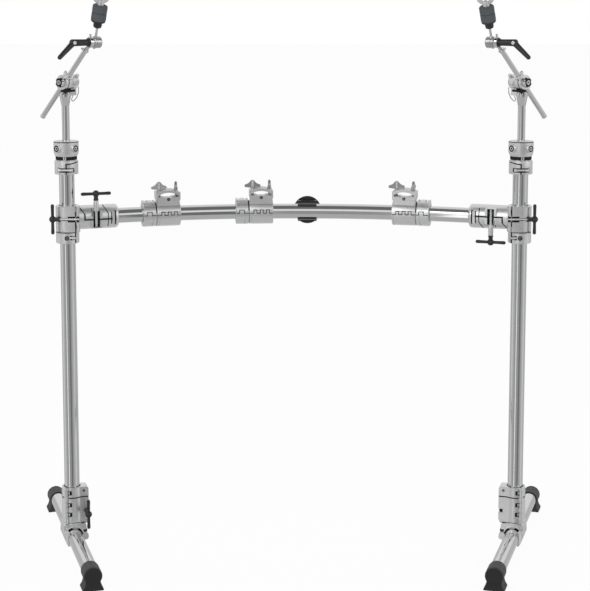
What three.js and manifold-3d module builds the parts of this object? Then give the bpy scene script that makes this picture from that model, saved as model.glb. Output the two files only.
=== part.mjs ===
// Front drum rack frame: two splayed T-legs, a bar bent in a horizontal arc, three accessory
// clamps on the bar and a short cymbal boom on top of each leg.
// Millimetres, +Z up, the drummer stands at -Y. The origin is on the floor between the legs.
import * as THREE from 'three';
import Module from 'manifold-3d';
import { mergeVertices } from 'three/addons/utils/BufferGeometryUtils.js';

const wasm = await Module();
wasm.setup();

// Layout of the whole rack
const legSpacing = 1127;
const barHeight = 848;
const barStraightEnd = 140;
const splayAngle = THREE.MathUtils.degToRad(18);
const baseYaw = THREE.MathUtils.degToRad(16.8);
const fitGap = 0.3;
const turnGap = 0.6;
const cutOverrun = 3;
const mergeTolerance = 0.0001;

// Round faces
const tubeSides = 20;
const castSides = 20;
const smallSides = 10;
const boreSides = 12;
const ballRings = 5;
const barSteps = 24;

// Tubes
const tubeRadius = 19.05;
const tubeWall = 1.6;
const legTube = { bottom: 60.3, aboveBar: 150.3 };
const baseTube = { axisHeight: 36, length: 611 };
const tubeBore = tubeRadius + fitGap;
const legTop = barHeight + legTube.aboveBar;

// Rubber feet
const foot = {
  sleeveRadius: 22.3,
  sleeveLength: 50,
  endWall: 4.7,
  padLength: 44,
  padHeight: 16,
  padBottomWidth: 50,
  padTopWidth: 36,
};

// T-handle shared by the clamps
const handle = {
  boltRadius: 3.75,
  neckRadius: 6.3,
  ballRadius: 8,
  barRadius: 3.9,
  barLength: 76,
};

// Base clamp: ring round the leg, hinged door in front, saddle and jaw on the base tube
const baseClamp = {
  outerRadius: 26,
  top: 160,
  doorBottom: 68,
  hingeX: -19.5,
  hingeY: -24.5,
  knuckleRadius: 4.5,
  knuckleHeight: 12.4,
  knuckleCentres: [91, 116, 147],
  lugEnd: 38.5,
  lugInner: 14,
  lugFront: -20.5,
  splitY: -9,
  lugBack: 14,
  boltX: 33,
  boltHeight: 97,
  slotHalf: 4.7,
  notchInner: 27,
  seamHeight: 134,
  seamWidth: 1.2,
  seamDepth: 1,
  collarRadius: 27,
  floorHeight: 60,
  skirtBottom: 40,
};
const saddle = {
  outerRadius: 26,
  topHalfLength: 27,
  lobeHalfLength: 54,
  lobeEdge: -6,
  cutHeight: 18,
  shoulderLeft: 26.5,
  shoulderRight: 31,
  shoulderHalf: 26.5,
  shoulderBottom: 50.2,
  shoulderTop: 66,
};
const jaw = {
  inner: 18,
  outer: 34,
  halfLength: 40,
  bottom: 28,
  top: 47,
  bridgeFrom: 20,
  bridgeTop: 60,
};
const baseHandle = { frontTip: 10, backTip: -15, neckStart: 21.1, neckLength: 23.5, ballOffset: 6 };

// Bar clamp: T-shaped casting between leg and bar, hinged leg door, handles and memory lock
const barClamp = {
  outerRadius: 28.8,
  halfHeight: 32.2,
  frontPlane: -20.6,
  doorLip: 24.7,
  lugEnd: 33,
  lugFront: -29,
  lugStart: 14,
  boltY: -25,
  slotHalf: 6.3,
  slotStart: 5,
  hingeY: 34.2,
  knuckleRadius: 5,
  knuckleHalf: 11.7,
  knuckleEnd: 30,
  linkDepth: 8,
  branchRadius: 30,
  branchStart: 5,
  branchEnd: 126,
  branchChamfer: 6,
  barStart: 33,
  boreStart: 30,
};
const branch = {
  boltAlong: 68,
  boltDepth: 24.3,
  lugHalf: 14.5,
  lugFront: -31,
  lugInner: -12,
  lugBottom: -25,
  lugTop: 16,
  slotFloor: -23,
  slotDepth: 20.3,
  seamHeight: -3,
  seamStart: 38.7,
  seamEnd: 106,
  seamWidth: 1.2,
  seamDepth: 2,
};
const legHandle = { tip: 33, neckStart: 15, neckLength: 14, ballOffset: 4 };
const branchHandle = { tip: -22, sleeveStart: 17, neckStart: 44, neckLength: 13, ballOffset: 4 };
const memoryLock = {
  height: 29.5,
  outerRadius: 28.8,
  slitX: 21,
  slitWidth: 1.6,
  screwOffset: 14,
  screwRadius: 3.2,
  screwHalf: 6,
};

// Top clamp: block for the boom post, ring and split collar on the leg tube
const topClamp = {
  overlap: 39.3,
  collarHeight: 34,
  ringHeight: 11,
  blockHeight: 37,
  collarRadius: 29.2,
  ringRadius: 26.5,
  blockRadius: 31,
  bossRadius: 9,
  bossReach: 35,
  bossRise: 20,
  bossAngles: [-125, -40],
  slitX: 1.5,
  slitWidth: 1.8,
  slitHeight: 27,
  screwRise: 9,
  screwRadius: 2.7,
  screwHalf: 19,
};

const topClampTop = legTop - topClamp.overlap + topClamp.collarHeight + topClamp.ringHeight
  + topClamp.blockHeight;

// Boom: post with the fixed ratchet half, turning head, arm, cymbal tilter
const boom = {
  postRadius: 9.5,
  postLength: 379.5,
  pivotRise: 145.5,
  facing: THREE.MathUtils.degToRad(-35),
  lean: THREE.MathUtils.degToRad(41),
  socketRadius: 14.5,
  taperBottom: 58,
  socketBottom: 34,
  socketTop: 30,
  earFront: 11.3,
  earBack: 32,
  earRadius: 18.5,
  earHalf: 8,
  wingHubRadius: 8,
  wingHubEnd: 42,
  wingSpan: 38,
  wingHeight: 15,
  wingThickness: 3.5,
  headFront: 12,
  headBack: 11,
  headRadius: 18.5,
  bossLength: 44,
  bossRadius: 11,
  hubRadius: 12.5,
  hubEnd: 22,
};
const arm = {
  radius: 6.35,
  lower: 120,
  upper: 132,
  capRadius: 6.9,
  capLength: 6,
  neckLength: 23,
  neckRadius: 3.2,
};
const eye = { radius: 13.5, halfThickness: 4.5 };
const barrel = {
  radius: 14.3,
  start: 4.9,
  end: 26,
  rodAlong: 12,
  rodRadius: 3,
  rodBelow: 17,
  rodTop: 113,
};
const lever = {
  start: 4.9,
  collarRadius: 11,
  collarEnd: 8,
  hubRadius: 8.2,
  hubEnd: 52,
  handleLength: 57,
  handleRadius: 5.6,
  handleTipRadius: 4.6,
  handleSide: 0.72,
  handleDown: 0.57,
  handleFront: 0.22,
};
const felts = {
  bore: 3.3,
  seatRadius: 10.5,
  seatStart: 39,
  seatEnd: 54.5,
  radius: 18.2,
  seam: 75,
  seamDepth: 1.2,
  seamWidth: 1.4,
  top: 95.5,
};
const topNut = {
  start: 95.8,
  hubRadius: 8,
  hubLength: 14,
  span: 42,
  wingHeight: 16,
  wingThickness: 4,
  lift: 5,
};

// Outline of a wing, as shares of its height
const wingTipShare = 0.75;
const wingDipShare = 0.45;
// Outline of an accessory clamp's wing, as shares of its half span and its height
const peakedWingShares = [[-1, 0.28], [-1, 0.52], [-0.5, 0.66], [-0.12, 1], [0.12, 1], [0.5, 0.66], [1, 0.52],
  [1, 0.28], [0.3, 0.2], [-0.3, 0.2]];

// Accessory clamps on the bar
const accessory = {
  halfLength: 30.2,
  radius: 31.5,
  boreRoom: 0.9,
  blockDepth: 22,
  blockTop: 44,
  hingeY: -30,
  hingeZ: 4.6,
  knuckleRadius: 4,
  knuckleShares: [-0.64, -0.1, 0.42],
  knuckleWidthShare: 0.26,
  vHalf: 6,
  vDepth: 8,
  capFloor: 47,
  capRise: 6,
  archRise: 8.4,
  capThickness: 9,
  capHalf: 28,
  boltX: 21.5,
  boltRadius: 3,
  boltBottom: 30,
  wingHub: 5,
  wingHubHeight: 9,
  wingSpan: 41,
  wingHeight: 25,
  wingThickness: 4.4,
  collarLength: 33,
  collarGap: 1.6,
  collarNotch: 5,
  crownRise: 3.7,
  crownHalf: 15,
  backLugDepth: 42,
  backLugHalf: 8,
};
// Places of the accessory clamps, as shares of the leg spacing
const clampPlaces = [
  { name: 'left', placeShare: -0.284, collarSide: -1, wingTurns: [15, 85] },
  { name: 'middle', placeShare: -0.0741, collarSide: -1, wingTurns: [0, 88] },
  { name: 'right', placeShare: 0.2511, collarSide: 1, wingTurns: [5, 86] },
];

// Badge behind the bar
const badge = {
  x: 34.8,
  radius: 35.5,
  thickness: 4,
  saddleWidth: 48,
  saddleHeight: 52,
  saddleDepth: 12,
  clipRadius: 22.2,
  clipReach: 13.6,
  boreRoom: 0.8,
};

const barRadius = (legSpacing / 2 - barStraightEnd * Math.cos(splayAngle)) / Math.sin(splayAngle);
const barBow = barStraightEnd * Math.sin(splayAngle) + barRadius * (1 - Math.cos(splayAngle));

// Finishes
function finish(color, roughness, metalness) {
  return new THREE.MeshStandardMaterial({ color, roughness, metalness });
}
const chrome = finish(0xc9cbcd, 0.12, 1);
const castChrome = finish(0xb9babb, 0.3, 1);
const blackPlastic = finish(0x17181a, 0.45, 0);
const rubber = finish(0x26272a, 0.75, 0);
const felt = finish(0x3a3b3d, 0.95, 0);

// Solids
function toSolid(geometry) {
  const bare = geometry.clone();
  bare.deleteAttribute('normal');
  bare.deleteAttribute('uv');
  const merged = mergeVertices(bare, mergeTolerance);
  const vertProperties = new Float32Array(merged.attributes.position.array);
  const triVerts = new Uint32Array(merged.index.array);
  return new wasm.Manifold(new wasm.Mesh({ numProp: 3, vertProperties, triVerts }));
}

function toGeometry(solid) {
  const mesh = solid.getMesh();
  const geometry = new THREE.BufferGeometry();
  geometry.setAttribute('position', new THREE.BufferAttribute(mesh.vertProperties, 3));
  geometry.setIndex(new THREE.BufferAttribute(mesh.triVerts, 1));
  geometry.computeVertexNormals();
  return geometry;
}

function join(...geometries) {
  const solids = geometries.map(toSolid);
  return toGeometry(solids.reduce((sum, next) => sum.add(next)));
}

function cut(base, ...tools) {
  const solids = tools.map(toSolid);
  return toGeometry(solids.reduce((left, tool) => left.subtract(tool), toSolid(base)));
}

function overlap(first, second) {
  return toGeometry(toSolid(first).intersect(toSolid(second)));
}

function mirrored(geometry) {
  const flipped = toGeometry(toSolid(geometry));
  flipped.scale(-1, 1, 1);
  const order = flipped.index.array;
  for (let i = 0; i < order.length; i += 3) {
    const kept = order[i];
    order[i] = order[i + 1];
    order[i + 1] = kept;
  }
  flipped.computeVertexNormals();
  return flipped;
}

// Basic shapes: rods and rings stand along Z between two heights
function rod(radius, from, to, sides = castSides, topRadius = radius) {
  const shape = new THREE.CylinderGeometry(topRadius, radius, to - from, sides);
  shape.rotateX(Math.PI / 2);
  return shape.translate(0, 0, (from + to) / 2);
}

function ring(outer, inner, from, to, sides = castSides) {
  const profile = [
    new THREE.Vector2(inner, from),
    new THREE.Vector2(outer, from),
    new THREE.Vector2(outer, to),
    new THREE.Vector2(inner, to),
    new THREE.Vector2(inner, from),
  ];
  return new THREE.LatheGeometry(profile, sides).rotateX(Math.PI / 2);
}

function block(minX, maxX, minY, maxY, minZ, maxZ) {
  const shape = new THREE.BoxGeometry(maxX - minX, maxY - minY, maxZ - minZ);
  return shape.translate((minX + maxX) / 2, (minY + maxY) / 2, (minZ + maxZ) / 2);
}

function plate(points, from, to) {
  const outline = new THREE.Shape(points.map(([x, y]) => new THREE.Vector2(x, y)));
  const shape = new THREE.ExtrudeGeometry(outline, { depth: to - from, bevelEnabled: false });
  return shape.translate(0, 0, from);
}

function alongX(shape) {
  return shape.rotateY(Math.PI / 2);
}

function alongY(shape) {
  return shape.rotateX(-Math.PI / 2);
}

function alongMinusY(shape) {
  return shape.rotateX(Math.PI / 2);
}

function directedRod(start, end, startRadius, endRadius, sides) {
  const direction = end.clone().sub(start);
  const shape = rod(startRadius, 0, direction.length(), sides, endRadius);
  const turn = new THREE.Quaternion();
  turn.setFromUnitVectors(new THREE.Vector3(0, 0, 1), direction.clone().normalize());
  shape.applyQuaternion(turn);
  return shape.translate(start.x, start.y, start.z);
}

// A T-handle points up +Z from its bolt tip; its bar lies along X
function tHandle(boltLength, neckLength, ballOffset, sleeveStart = boltLength) {
  const ballHeight = boltLength + neckLength + ballOffset;
  const bar = alongX(rod(handle.barRadius, -handle.barLength / 2, handle.barLength / 2, smallSides));
  const ball = new THREE.SphereGeometry(handle.ballRadius, smallSides, ballRings);
  return join(
    rod(handle.boltRadius, 0, boltLength + neckLength / 2, smallSides),
    rod(handle.neckRadius, sleeveStart, ballHeight, smallSides),
    ball.translate(0, 0, ballHeight),
    bar.translate(0, 0, ballHeight),
  );
}

// A wing bolt or nut: hub with two wings along X, standing on height zero
function wings(hubRadius, hubHeight, span, wingHeight, thickness, lift) {
  const half = span / 2;
  const outline = [
    [-half, lift + wingHeight * wingTipShare],
    [-half + thickness, lift + wingHeight],
    [0, lift + wingHeight * wingDipShare],
    [half - thickness, lift + wingHeight],
    [half, lift + wingHeight * wingTipShare],
    [hubRadius, lift],
    [-hubRadius, lift],
  ];
  const wing = plate(outline, -thickness / 2, thickness / 2);
  wing.rotateX(Math.PI / 2);
  return join(rod(hubRadius, 0, hubHeight, smallSides), wing);
}

// Rubber foot on the -Y end of the base tube
function footShape() {
  const tubeEnd = baseTube.length / 2;
  const sleeveEnd = tubeEnd + fitGap + foot.endWall;
  const sleeve = alongMinusY(rod(foot.sleeveRadius, sleeveEnd - foot.sleeveLength, sleeveEnd, tubeSides));
  const bore = alongMinusY(rod(tubeBore, 0, tubeEnd + fitGap, tubeSides));
  const halfBottom = foot.padBottomWidth / 2;
  const halfTop = foot.padTopWidth / 2;
  const section = [[-halfBottom, 0], [halfBottom, 0], [halfTop, foot.padHeight], [-halfTop, foot.padHeight]];
  const pad = plate(section, 0, foot.padLength);
  pad.rotateX(Math.PI / 2);
  pad.translate(0, -(sleeveEnd - foot.padLength), 0);
  sleeve.translate(0, 0, baseTube.axisHeight);
  bore.translate(0, 0, baseTube.axisHeight);
  return join(cut(sleeve, bore), pad);
}

function baseTubeShape() {
  const half = baseTube.length / 2;
  const tube = alongY(ring(tubeRadius, tubeRadius - tubeWall, -half, half, tubeSides));
  return tube.translate(0, 0, baseTube.axisHeight);
}

// Space of the base door: in front of the split, to the right of the hinge
function doorWedge(offset) {
  const reach = baseClamp.lugEnd * 2;
  const hingeAngle = Math.atan2(baseClamp.hingeY, baseClamp.hingeX);
  const edge = new THREE.Vector2(Math.cos(hingeAngle), Math.sin(hingeAngle));
  const side = new THREE.Vector2(edge.y, -edge.x).multiplyScalar(offset);
  const splitY = baseClamp.splitY + offset;
  const start = side.clone().addScaledVector(edge, (splitY - side.y) / edge.y);
  const far = side.clone().addScaledVector(edge, reach);
  const points = [[start.x, start.y], [far.x, far.y], [reach, far.y], [reach, splitY]];
  return plate(points, baseClamp.doorBottom - offset, baseClamp.top + cutOverrun);
}

function baseKnuckles(onDoor) {
  const pieces = [];
  const half = baseClamp.knuckleHeight / 2;
  const edges = [baseClamp.doorBottom + fitGap];
  for (const centre of baseClamp.knuckleCentres) {
    edges.push(centre - half, centre + half);
  }
  edges.push(baseClamp.top);
  for (let i = 0; i + 1 < edges.length; i += 1) {
    const belongsToDoor = i % 2 === 0;
    if (belongsToDoor === onDoor) {
      const shrink = onDoor ? fitGap : 0;
      const bottom = edges[i] + (i === 0 ? 0 : shrink);
      const top = edges[i + 1] - (i + 2 === edges.length ? 0 : shrink);
      const pin = rod(baseClamp.knuckleRadius, bottom, top, smallSides);
      pieces.push(pin.translate(baseClamp.hingeX, baseClamp.hingeY, 0));
      pieces.push(knuckleLink(onDoor, bottom, top));
    }
  }
  return pieces;
}

// Web from a knuckle to the ring, on the door's or the body's side of the hinge
function knuckleLink(onDoor, bottom, top) {
  const side = onDoor ? 1 : -1;
  const hinge = new THREE.Vector2(baseClamp.hingeX, baseClamp.hingeY);
  const inward = hinge.clone().negate().normalize();
  const across = new THREE.Vector2(-inward.y, inward.x).multiplyScalar(-side);
  const depth = hinge.length() - baseClamp.outerRadius + baseClamp.seamDepth;
  const near = hinge.clone().addScaledVector(across, fitGap / 2);
  const far = hinge.clone().addScaledVector(across, baseClamp.knuckleRadius);
  const nearIn = near.clone().addScaledVector(inward, depth);
  const farIn = far.clone().addScaledVector(inward, depth);
  const points = [[near.x, near.y], [far.x, far.y], [farIn.x, farIn.y], [nearIn.x, nearIn.y]];
  return plate(onDoor ? points : points.reverse(), bottom, top);
}

function seamRing(outerRadius, height, width, depth) {
  return ring(outerRadius + cutOverrun, outerRadius - depth, height - width / 2, height + width / 2);
}

function baseSeam() {
  const { outerRadius, seamHeight, seamWidth, seamDepth } = baseClamp;
  return seamRing(outerRadius, seamHeight, seamWidth, seamDepth);
}

function baseDoorShape(handleOnDoor) {
  const { lugInner, lugEnd, lugFront, splitY, doorBottom, top, boltX, boltHeight, slotHalf } = baseClamp;
  const bottom = doorBottom + fitGap;
  const shell = join(
    ring(baseClamp.outerRadius, tubeBore, bottom, top),
    block(lugInner, lugEnd, lugFront, splitY, bottom, top),
  );
  const bore = rod(tubeBore, 0, top + cutOverrun);
  const door = overlap(cut(shell, bore), doorWedge(-fitGap / 2));
  const boltWay = alongMinusY(rod(handle.boltRadius + fitGap, 0, -lugFront + cutOverrun, smallSides));
  boltWay.translate(boltX, 0, boltHeight);
  const reach = lugEnd + cutOverrun;
  const notch = block(baseClamp.notchInner, reach, lugFront - cutOverrun, 0,
    boltHeight - slotHalf, boltHeight + slotHalf);
  const parted = cut(door, handleOnDoor ? boltWay : notch, baseSeam());
  return join(parted, ...baseKnuckles(true));
}

function baseClampShape(handleOnDoor) {
  const { lugInner, lugEnd, splitY, lugBack, top, boltX, boltHeight, slotHalf, floorHeight } = baseClamp;
  const tubeAxis = baseTube.axisHeight;
  const upper = join(
    ring(baseClamp.outerRadius, tubeBore, baseClamp.doorBottom, top),
    block(lugInner, lugEnd, splitY, lugBack, floorHeight, top),
    rod(baseClamp.collarRadius, baseClamp.skirtBottom, baseClamp.doorBottom),
  );
  const crown = alongY(rod(saddle.outerRadius, -saddle.topHalfLength, saddle.topHalfLength));
  const sleeve = alongY(rod(saddle.outerRadius, -saddle.lobeHalfLength, saddle.lobeHalfLength));
  const lobeSpace = block(-lugEnd, saddle.lobeEdge, -saddle.lobeHalfLength - cutOverrun,
    saddle.lobeHalfLength + cutOverrun, 0, tubeAxis + tubeRadius);
  const lobe = overlap(sleeve.translate(0, 0, tubeAxis), lobeSpace);
  const sideJaw = join(
    block(jaw.inner, jaw.outer, -jaw.halfLength, jaw.halfLength, jaw.bottom, jaw.top),
    block(jaw.inner, jaw.outer, jaw.bridgeFrom, jaw.halfLength, jaw.bottom, jaw.bridgeTop),
    block(0, jaw.outer, jaw.bridgeFrom, saddle.topHalfLength, tubeAxis, jaw.bridgeTop),
  );
  const shoulders = block(-saddle.shoulderLeft, saddle.shoulderRight, -saddle.shoulderHalf,
    saddle.shoulderHalf, saddle.shoulderBottom, saddle.shoulderTop);
  const casting = join(upper, crown.translate(0, 0, tubeAxis), shoulders, lobe, sideJaw);
  const legBore = rod(tubeBore, floorHeight, top + cutOverrun);
  const boreReach = saddle.lobeHalfLength + cutOverrun;
  const baseBore = alongY(rod(tubeBore, -boreReach, boreReach));
  const below = block(-lugEnd, lugEnd, -boreReach, boreReach, -tubeAxis, saddle.cutHeight);
  const slot = block(boltX - slotHalf, lugEnd + cutOverrun, splitY - cutOverrun, lugBack + cutOverrun,
    boltHeight - slotHalf, boltHeight + slotHalf);
  const boltRoom = handle.boltRadius + fitGap;
  const boltWay = alongY(rod(boltRoom, splitY - cutOverrun, lugBack + cutOverrun, smallSides));
  boltWay.translate(boltX, 0, boltHeight);
  const shaped = cut(casting, legBore, baseBore.translate(0, 0, tubeAxis), below,
    doorWedge(fitGap / 2), handleOnDoor ? slot : boltWay, baseSeam());
  return join(shaped, ...baseKnuckles(false));
}

// Bar clamp, in the frame of the leg axis at the bar's height; the branch leaves to +X, turned to +Y
function turnedToBranch(geometry) {
  return geometry.rotateZ(splayAngle);
}

function barClampShape() {
  const c = barClamp;
  const half = c.halfHeight;
  const profile = [
    new THREE.Vector2(0, c.branchStart),
    new THREE.Vector2(c.branchRadius, c.branchStart),
    new THREE.Vector2(c.branchRadius, c.branchEnd - c.branchChamfer),
    new THREE.Vector2(c.branchRadius - c.branchChamfer, c.branchEnd),
    new THREE.Vector2(0, c.branchEnd),
  ];
  const sleeve = new THREE.LatheGeometry(profile, castSides).rotateZ(-Math.PI / 2);
  const boltLug = block(branch.boltAlong - branch.lugHalf, branch.boltAlong + branch.lugHalf,
    branch.lugFront, branch.lugInner, branch.lugBottom, branch.lugTop);
  const barBore = alongX(rod(tubeBore, c.boreStart, c.branchEnd + cutOverrun));
  const slotHalf = handle.neckRadius + turnGap;
  const boltSlot = block(branch.boltAlong - slotHalf, branch.boltAlong + slotHalf,
    branch.lugFront - cutOverrun, -branch.slotDepth, branch.slotFloor, c.branchRadius);
  const handleRoom = rod(slotHalf, branchHandle.sleeveStart - fitGap, c.branchRadius, smallSides);
  handleRoom.translate(branch.boltAlong, -branch.boltDepth, 0);
  const seam = block(branch.seamStart, branch.seamEnd, branch.lugFront - cutOverrun,
    -c.branchRadius + branch.seamDepth * 2, branch.seamHeight - branch.seamWidth / 2,
    branch.seamHeight + branch.seamWidth / 2);
  const endSeam = alongX(seamRing(c.branchRadius, branch.seamEnd, branch.seamWidth, branch.seamDepth));
  const branchBody = turnedToBranch(cut(join(sleeve, boltLug), barBore, boltSlot, handleRoom, seam, endSeam));
  const ringPart = overlap(
    ring(c.outerRadius, tubeBore, -half, half),
    block(fitGap / 2, c.outerRadius, c.frontPlane + fitGap / 2, c.outerRadius, -half, half),
  );
  const lug = block(c.lugStart, c.lugEnd, c.lugFront, -tubeRadius / 2, -half, half);
  const legBore = rod(tubeBore, -half - cutOverrun, half + cutOverrun);
  const leftSpace = block(-c.lugEnd, fitGap / 2, -c.lugEnd, c.lugEnd, -half - cutOverrun, half + cutOverrun);
  const frontSpace = block(-c.lugEnd, c.doorLip + fitGap, -c.lugEnd * 2, c.frontPlane + fitGap / 2,
    -half - cutOverrun, half + cutOverrun);
  const slot = block(0, c.lugEnd + cutOverrun, -c.lugEnd * 2, c.frontPlane - fitGap / 2,
    -c.slotHalf, c.slotHalf);
  const body = cut(join(branchBody, ringPart, lug), legBore, leftSpace, frontSpace, slot);
  const knuckle = rod(c.knuckleRadius, -c.knuckleHalf, c.knuckleHalf, smallSides).translate(0, c.hingeY, 0);
  const web = block(fitGap / 2, c.knuckleRadius, c.hingeY - c.linkDepth, c.hingeY,
    -c.knuckleHalf, c.knuckleHalf);
  return join(body, knuckle, web);
}

function legDoorShape() {
  const c = barClamp;
  const half = c.halfHeight;
  const space = join(
    block(-c.lugEnd, -fitGap / 2, -c.lugEnd, c.lugEnd, -half, half),
    block(-c.lugEnd, c.doorLip, -c.lugEnd, c.frontPlane - fitGap / 2, -half, half),
  );
  const lip = block(0, c.doorLip, -c.outerRadius, c.frontPlane, -half, half);
  const shell = overlap(join(ring(c.outerRadius, tubeBore, -half, half), lip), space);
  const boltWay = alongX(rod(handle.boltRadius + fitGap, -c.lugEnd, c.lugEnd, smallSides));
  const neckRoom = handle.neckRadius + turnGap;
  const neckWay = alongX(rod(neckRoom, -c.lugEnd, -legHandle.neckStart + fitGap, smallSides));
  const slot = block(c.slotStart, c.lugEnd, -c.lugEnd, c.frontPlane, -c.slotHalf, c.slotHalf);
  const body = cut(shell, boltWay.translate(0, c.boltY, 0), neckWay.translate(0, c.boltY, 0), slot);
  const pieces = [];
  for (const side of [-1, 1]) {
    const bottom = side < 0 ? -c.knuckleEnd : c.knuckleHalf + fitGap;
    const top = side < 0 ? -c.knuckleHalf - fitGap : c.knuckleEnd;
    pieces.push(rod(c.knuckleRadius, bottom, top, smallSides).translate(0, c.hingeY, 0));
    pieces.push(block(-c.knuckleRadius, -fitGap / 2, c.hingeY - c.linkDepth, c.hingeY, bottom, top));
  }
  return join(body, ...pieces);
}

function legHandleShape() {
  const boltLength = legHandle.tip + legHandle.neckStart;
  const shape = tHandle(boltLength, legHandle.neckLength, legHandle.ballOffset);
  shape.rotateY(-Math.PI / 2);
  return shape.translate(legHandle.tip, barClamp.boltY, 0);
}

function branchHandleShape() {
  const h = branchHandle;
  const shape = tHandle(h.neckStart - h.tip, h.neckLength, h.ballOffset, h.sleeveStart - h.tip);
  shape.translate(branch.boltAlong, -branch.boltDepth, h.tip);
  return turnedToBranch(shape);
}

function memoryLockShape() {
  const m = memoryLock;
  const collar = ring(m.outerRadius, tubeBore, 0, m.height);
  const slit = block(m.slitX, m.slitX + m.slitWidth, -m.outerRadius - cutOverrun, 0,
    -cutOverrun, m.height + cutOverrun);
  const screwWay = alongX(rod(m.screwRadius, m.screwOffset, m.outerRadius + cutOverrun, smallSides));
  screwWay.translate(0, -m.outerRadius + m.screwHalf / 2, m.height / 2);
  return cut(collar, slit, screwWay);
}

function topClampShape() {
  const t = topClamp;
  const bottom = legTop - t.overlap;
  const collarTop = bottom + t.collarHeight;
  const ringTop = collarTop + t.ringHeight;
  const stack = [
    rod(t.collarRadius, bottom, collarTop),
    rod(t.ringRadius, bottom, topClampTop),
    rod(t.blockRadius, ringTop, topClampTop),
  ];
  for (const angle of t.bossAngles) {
    const boss = alongX(rod(t.bossRadius, 0, t.bossReach, smallSides));
    boss.rotateZ(THREE.MathUtils.degToRad(angle));
    stack.push(boss.translate(0, 0, ringTop + t.bossRise));
  }
  const legBore = rod(tubeBore, bottom - cutOverrun, legTop + fitGap);
  const postBore = rod(boom.postRadius + fitGap, bottom, topClampTop + cutOverrun);
  const front = -t.collarRadius - cutOverrun;
  const slitTop = bottom + t.slitHeight;
  const slit = block(t.slitX, t.slitX + t.slitWidth, front, 0, bottom - cutOverrun, slitTop);
  const foldedSlit = block(t.slitX, t.collarRadius, front, -tubeRadius, slitTop - t.slitWidth, slitTop);
  const screwWay = alongX(rod(t.screwRadius, -t.screwHalf / 2, t.screwHalf, smallSides));
  screwWay.translate(0, -t.collarRadius + t.screwRadius / 2, bottom + t.screwRise);
  return cut(join(...stack), legBore, postBore, slit, foldedSlit, screwWay);
}

// Boom pieces, in the frame of the tilter's pivot: the ratchet's axis is Y, its hub at -Y
function ratchetDisc(radius, front, back) {
  return alongY(rod(radius, front, back));
}

function boomPostShape() {
  const b = boom;
  const post = rod(b.postRadius, -b.postLength, -b.socketTop, tubeSides);
  const taper = rod(b.postRadius, -b.taperBottom, -b.socketBottom, castSides, b.socketRadius);
  const socket = join(taper, rod(b.socketRadius, -b.socketBottom, -b.socketTop));
  const ear = join(
    ratchetDisc(b.earRadius, b.earFront, b.earBack),
    block(-b.earHalf, b.earHalf, b.earFront, b.earBack, -b.socketBottom, 0),
    block(-b.earHalf, b.earHalf, 0, b.earBack, -b.socketBottom, -b.socketTop),
  );
  const hub = alongY(rod(b.wingHubRadius, b.earBack, b.wingHubEnd, smallSides));
  const wing = wings(b.wingHubRadius, b.wingHubEnd - b.earBack, b.wingSpan, b.wingHeight, b.wingThickness, 0);
  wing.rotateX(-Math.PI / 2);
  wing.translate(0, b.earBack, 0);
  return join(post, socket, ear, hub, wing);
}

function tilterHeadShape() {
  const b = boom;
  const disc = ratchetDisc(b.headRadius, -b.headFront, b.headBack);
  const boss = rod(b.bossRadius, -b.bossLength / 2, b.bossLength / 2);
  const hub = ratchetDisc(b.hubRadius, -b.hubEnd, 0);
  const bore = rod(arm.radius + fitGap, -b.bossLength, b.bossLength, smallSides);
  const shape = cut(join(disc, boss.rotateY(b.lean), hub), bore.rotateY(b.lean));
  return shape;
}

function boomArmShape(eyeTurn) {
  const stickEnd = arm.upper - arm.neckLength;
  const stick = rod(arm.radius, -arm.lower, stickEnd, smallSides);
  const cap = rod(arm.capRadius, -arm.lower - fitGap, -arm.lower + arm.capLength, smallSides);
  const along = new THREE.Vector3(Math.sin(boom.lean), 0, Math.cos(boom.lean));
  const eyeAxis = new THREE.Vector3(Math.cos(eyeTurn), Math.sin(eyeTurn), 0);
  const inEyePlane = along.clone().addScaledVector(eyeAxis, -along.dot(eyeAxis)).normalize();
  const centre = along.clone().multiplyScalar(arm.upper);
  const neckStart = along.clone().multiplyScalar(stickEnd - arm.neckRadius);
  const neckEnd = centre.clone().addScaledVector(inEyePlane, arm.neckRadius - eye.radius);
  const neck = directedRod(neckStart, neckEnd, arm.radius, arm.neckRadius, smallSides);
  const eyeRing = alongX(rod(eye.radius, -eye.halfThickness, eye.halfThickness)).rotateZ(eyeTurn);
  return join(join(stick, cap).rotateY(boom.lean), neck, eyeRing.translate(centre.x, centre.y, centre.z));
}

// Cymbal tilter pieces, in the frame of the eye: the barrel's axis is X
function barrelShape() {
  const b = barrel;
  const body = alongX(rod(b.radius, b.start, b.end));
  const spindle = rod(b.rodRadius, -b.rodBelow, b.rodTop, smallSides);
  return join(body, spindle.translate(b.rodAlong, 0, 0));
}

function leverShape() {
  const l = lever;
  const collar = alongX(rod(l.collarRadius, -l.collarEnd, -l.start));
  const hub = alongX(rod(l.hubRadius, -l.hubEnd, -l.start));
  const start = new THREE.Vector3(-l.hubEnd + l.hubRadius, 0, 0);
  const way = new THREE.Vector3(-l.handleSide, -l.handleFront, -l.handleDown);
  const end = start.clone().addScaledVector(way.normalize(), l.handleLength);
  const grip = directedRod(start, end, l.handleRadius, l.handleTipRadius, smallSides);
  return join(collar, hub, grip);
}

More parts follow.
